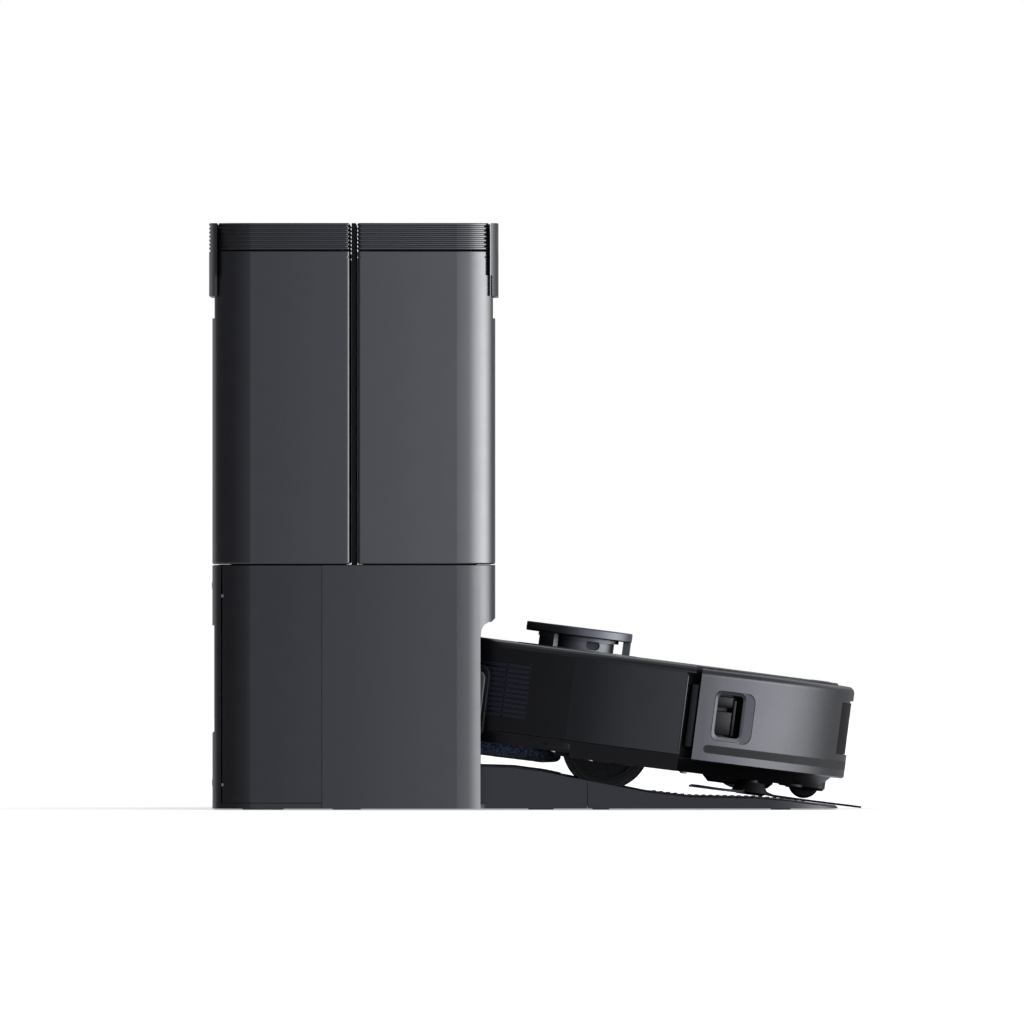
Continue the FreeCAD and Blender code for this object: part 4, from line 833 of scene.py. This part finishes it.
def build_bumper_guides():
    """Upright rails on the chassis that show in the gap behind the bumper's ends."""
    ahead, reach, height = 0.0630, 0.1531, 0.0400
    half_size, edge = (0.0027, 0.0030, 0.0220), 0.0006
    shape = bmesh.new()
    for side in (-1, 1):
        place = Vector((ahead, side * reach, height))
        add_round_box(shape, PARKED @ Matrix.Translation(place), half_size, edge)
    new_piece("bumper_guides", shape, "robot", "robot_charcoal")


def build_station_screws():
    """Screws in the rear cover, and the caps over the dust bag door's hinge pins."""
    low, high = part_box("rear_cover")
    from_side, from_bottom, from_top, recess = 0.045, 0.018, 0.014, 0.0010
    back = Vector((-1, 0, 0))
    spots = []
    for y in (low.y + from_side, high.y - from_side):
        for z in (low.z + from_bottom, high.z - from_top):
            spots.append((Vector((low.x + recess, y, z)), back))
    screw_set("rear_cover_screws", spots, "station", radius=0.0032)
    door = NODES["dust_bag_door"]
    door_low, door_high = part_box("dust_bag_door")
    hinge = Vector(JOINTS["bag_door_swing"]["pos_m"])
    above_bottom, below_top, behind_pin, beside_pin = 0.0125, 0.0210, 0.017, 0.011
    shape = bmesh.new()
    for z in (door_low.z + above_bottom, door_high.z - below_top):
        outside = Vector((hinge.x - behind_pin, hinge.y - beside_pin, z))
        _, surface, outward, _ = door.closest_point_on_mesh(outside)
        spot = facing_matrix(surface, outward)
        add_turned(shape, [(0.0012, -0.0010), (0.0012, 0.0003), (0.0008, 0.0006), (0, 0.0006)], spot,
                   segments=20)
    new_piece("door_hinge_caps", shape, "dust_bag_door", "inner_grey")


def build_tank_rests():
    """Thin rubber strips on the deck that the tanks stand on."""
    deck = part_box("front_housing")[1].z + 0.0003
    half_gap = 0.00025
    from_middle, from_centre = 0.150, 0.0460
    half_size = (0.0400, 0.0030, half_gap * 0.92)
    shape = bmesh.new()
    for side in (-1, 1):
        middle = Matrix.Translation(Vector((0, side * from_middle, deck + half_gap)))
        for sign in (-1, 1):
            spot = middle @ Matrix.Translation(Vector((sign * from_centre, 0, 0)))
            bmesh.ops.create_cube(shape, size=2.0, matrix=spot @ Matrix.Diagonal((*half_size, 1.0)))
    new_piece("tank_rests", shape, "station", "rubber_black")


def build_wheel_trim():
    """Raised rings on the outer face of each drive wheel."""
    ring_radii = (0.0270, 0.0225, 0.0120)
    for side, label in ((-1, "right"), (1, "left")):
        centre = Vector(JOINTS[label + "_wheel_spin"]["pos_m"])
        low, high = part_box(label + "_tyre")
        face = high.y if side > 0 else low.y
        spot = facing_matrix(Vector((centre.x, face, centre.z)), Vector((0, side, 0)))
        shape = bmesh.new()
        for radius in ring_radii:
            add_turned(shape, [(radius + 0.0007, -0.0008), (radius + 0.0006, 0.0002),
                               (radius, 0.0005), (radius - 0.0006, 0.0002),
                               (radius - 0.0007, -0.0008)], spot, segments=72)
        new_piece(label + "_wheel_trim", shape, label + "_wheel", "tyre_black")


def build_shell_edge_highlights():
    """Bright metallic strip down the front edge of the shell on each side: a painted highlight, standing in for
    the light that the shell's rounded front edge catches.
    """
    shape = bmesh.new()
    ahead, reach, height = 0.0568, BODY_R - 0.0002, 0.0410
    bearing = math.asin(ahead / BODY_R)
    for side in (-1, 1):
        place = Vector((reach * math.sin(bearing), side * reach * math.cos(bearing), height))
        spot = PARKED @ Matrix.Translation(place) @ Matrix.Rotation(-side * bearing, 4, "Z")
        add_round_box(shape, spot, (0.0006, 0.0005, 0.0265), 0.0004)
    # painted highlight: this bright strip stands where the shell's rounded front edge catches light
    new_piece("shell_edge_highlight_strips", shape, "robot", "bumper_metallic")


def build_turret_ring():
    """Thin raised ring round the turret's foot."""
    shell_top = 0.0748
    centre = in_robot(JOINTS["lidar_spin"]["pos_m"])
    shape = bmesh.new()
    spot = PARKED @ Matrix.Translation(Vector((centre.x, 0, shell_top)))
    add_turned(shape, [(0.0405, -0.0008), (0.0405, 0.0003), (0.0409, 0.0006), (0.0417, 0.0006),
                       (0.0421, 0.0003), (0.0421, -0.0008)], spot, segments=96)
    new_piece("turret_foot_ring", shape, "robot", "turret_metallic")


# ================================================================ studio
def build_world():
    """Light from all round by LIGHT_BY_BEARING; the camera itself sees plain white."""
    world = bpy.data.worlds.new("studio")
    bpy.context.scene.world = world
    world.use_nodes = True
    graph = Graph(world.node_tree)
    place = graph.add("TexCoord").outputs["Generated"]
    split = graph.add("SeparateXYZ")
    graph.set(split, 0, place)
    toward_camera = graph.math("MULTIPLY", split.outputs[1], -1.0)
    bearing = graph.math("ARCTAN2", split.outputs[0], toward_camera)
    turn = graph.math("MULTIPLY_ADD", bearing, 1.0 / math.tau, 0.5)
    ramp = graph.add("ValToRGB")
    graph.set(ramp, 0, turn)
    stops = ramp.color_ramp.elements
    while len(stops) > 1:
        stops.remove(stops[-1])
    for index, (degrees, *colour) in enumerate(LIGHT_BY_BEARING):
        stop = stops[0] if index == 0 else stops.new(degrees / 360.0 + 0.5)
        stop.position = degrees / 360.0 + 0.5
        stop.color = (*[level / LIGHT_GAIN for level in colour], 1.0)
    up = split.outputs[2]
    low = graph.span(up, *BAND_FADE_IN, 0.0, 1.0, True)
    high = graph.span(up, *BAND_FADE_OUT, 1.0, 0.0, True)
    band = graph.math("MULTIPLY", low, high)
    sky = scaled(SKY_LIGHT, 1.0 / LIGHT_GAIN)
    glow = graph.add("Background")
    graph.set(glow, "Color", graph.mix(band, sky, ramp.outputs[0]))
    glow.inputs["Strength"].default_value = LIGHT_GAIN
    seen = graph.add("Background")
    seen.inputs["Color"].default_value = WHITE
    chooser = graph.add("MixShader")
    graph.set(chooser, 0, graph.add("LightPath").outputs["Is Camera Ray"])
    graph.set(chooser, 1, glow.outputs[0])
    graph.set(chooser, 2, seen.outputs[0])
    graph.set(graph.add("OutputWorld"), "Surface", chooser.outputs[0])


def build_floor():
    """A pale floor that glows a little and that glossy surfaces do not reflect."""
    material, graph, shader = new_material("pale_floor")
    place = graph.add("TexCoord").outputs["Object"]
    cloud = graph.noise(place, 6.0, 3.0)
    graph.set(shader, "Base Color",
              graph.mix(cloud, (0.80, 0.80, 0.81, 1.0), (0.84, 0.84, 0.84, 1.0)))
    shader.inputs["Roughness"].default_value = 0.9
    shader.inputs["Specular IOR Level"].default_value = 0.0
    shader.inputs["Emission Color"].default_value = WHITE
    shader.inputs["Emission Strength"].default_value = FLOOR_GLOW
    mesh = bpy.data.meshes.new("floor")
    shape = bmesh.new()
    bmesh.ops.create_circle(shape, cap_ends=True, segments=96, radius=FLOOR_RADIUS)
    shape.to_mesh(mesh)
    shape.free()
    mesh.materials.append(material)
    floor = bpy.data.objects.new("floor", mesh)
    floor.location.z = -FLOOR_DROP
    floor.visible_glossy = False
    bpy.context.scene.collection.objects.link(floor)


def build_camera():
    data = bpy.data.cameras.new("camera")
    data.sensor_width = SENSOR
    data.lens = SENSOR * CAMERA_DISTANCE / VIEW_WIDTH
    data.clip_start = 0.05
    data.clip_end = CAMERA_DISTANCE * 2
    camera = bpy.data.objects.new("camera", data)
    camera.location = VIEW_CENTRE - Vector((0, CAMERA_DISTANCE, 0))
    camera.rotation_euler = Euler((math.radians(90), 0, 0))
    bpy.context.scene.collection.objects.link(camera)
    bpy.context.scene.camera = camera


bpy.context.scene.view_settings.view_transform = "Standard"
build_camera()
build_world()
build_floor()
dress_cad_nodes()
build_mop_pad("left")
build_mop_pad("right")
build_dust_bag()
build_side_brush_bristles()
build_main_brush()
build_side_contacts()
build_wall_sensor()
build_window_bezel()
build_underside_trim()
build_flank_sensors()
build_bumper_guides()
build_station_screws()
build_turret_ring()
build_tank_rests()
build_wheel_trim()
build_shell_edge_highlights()
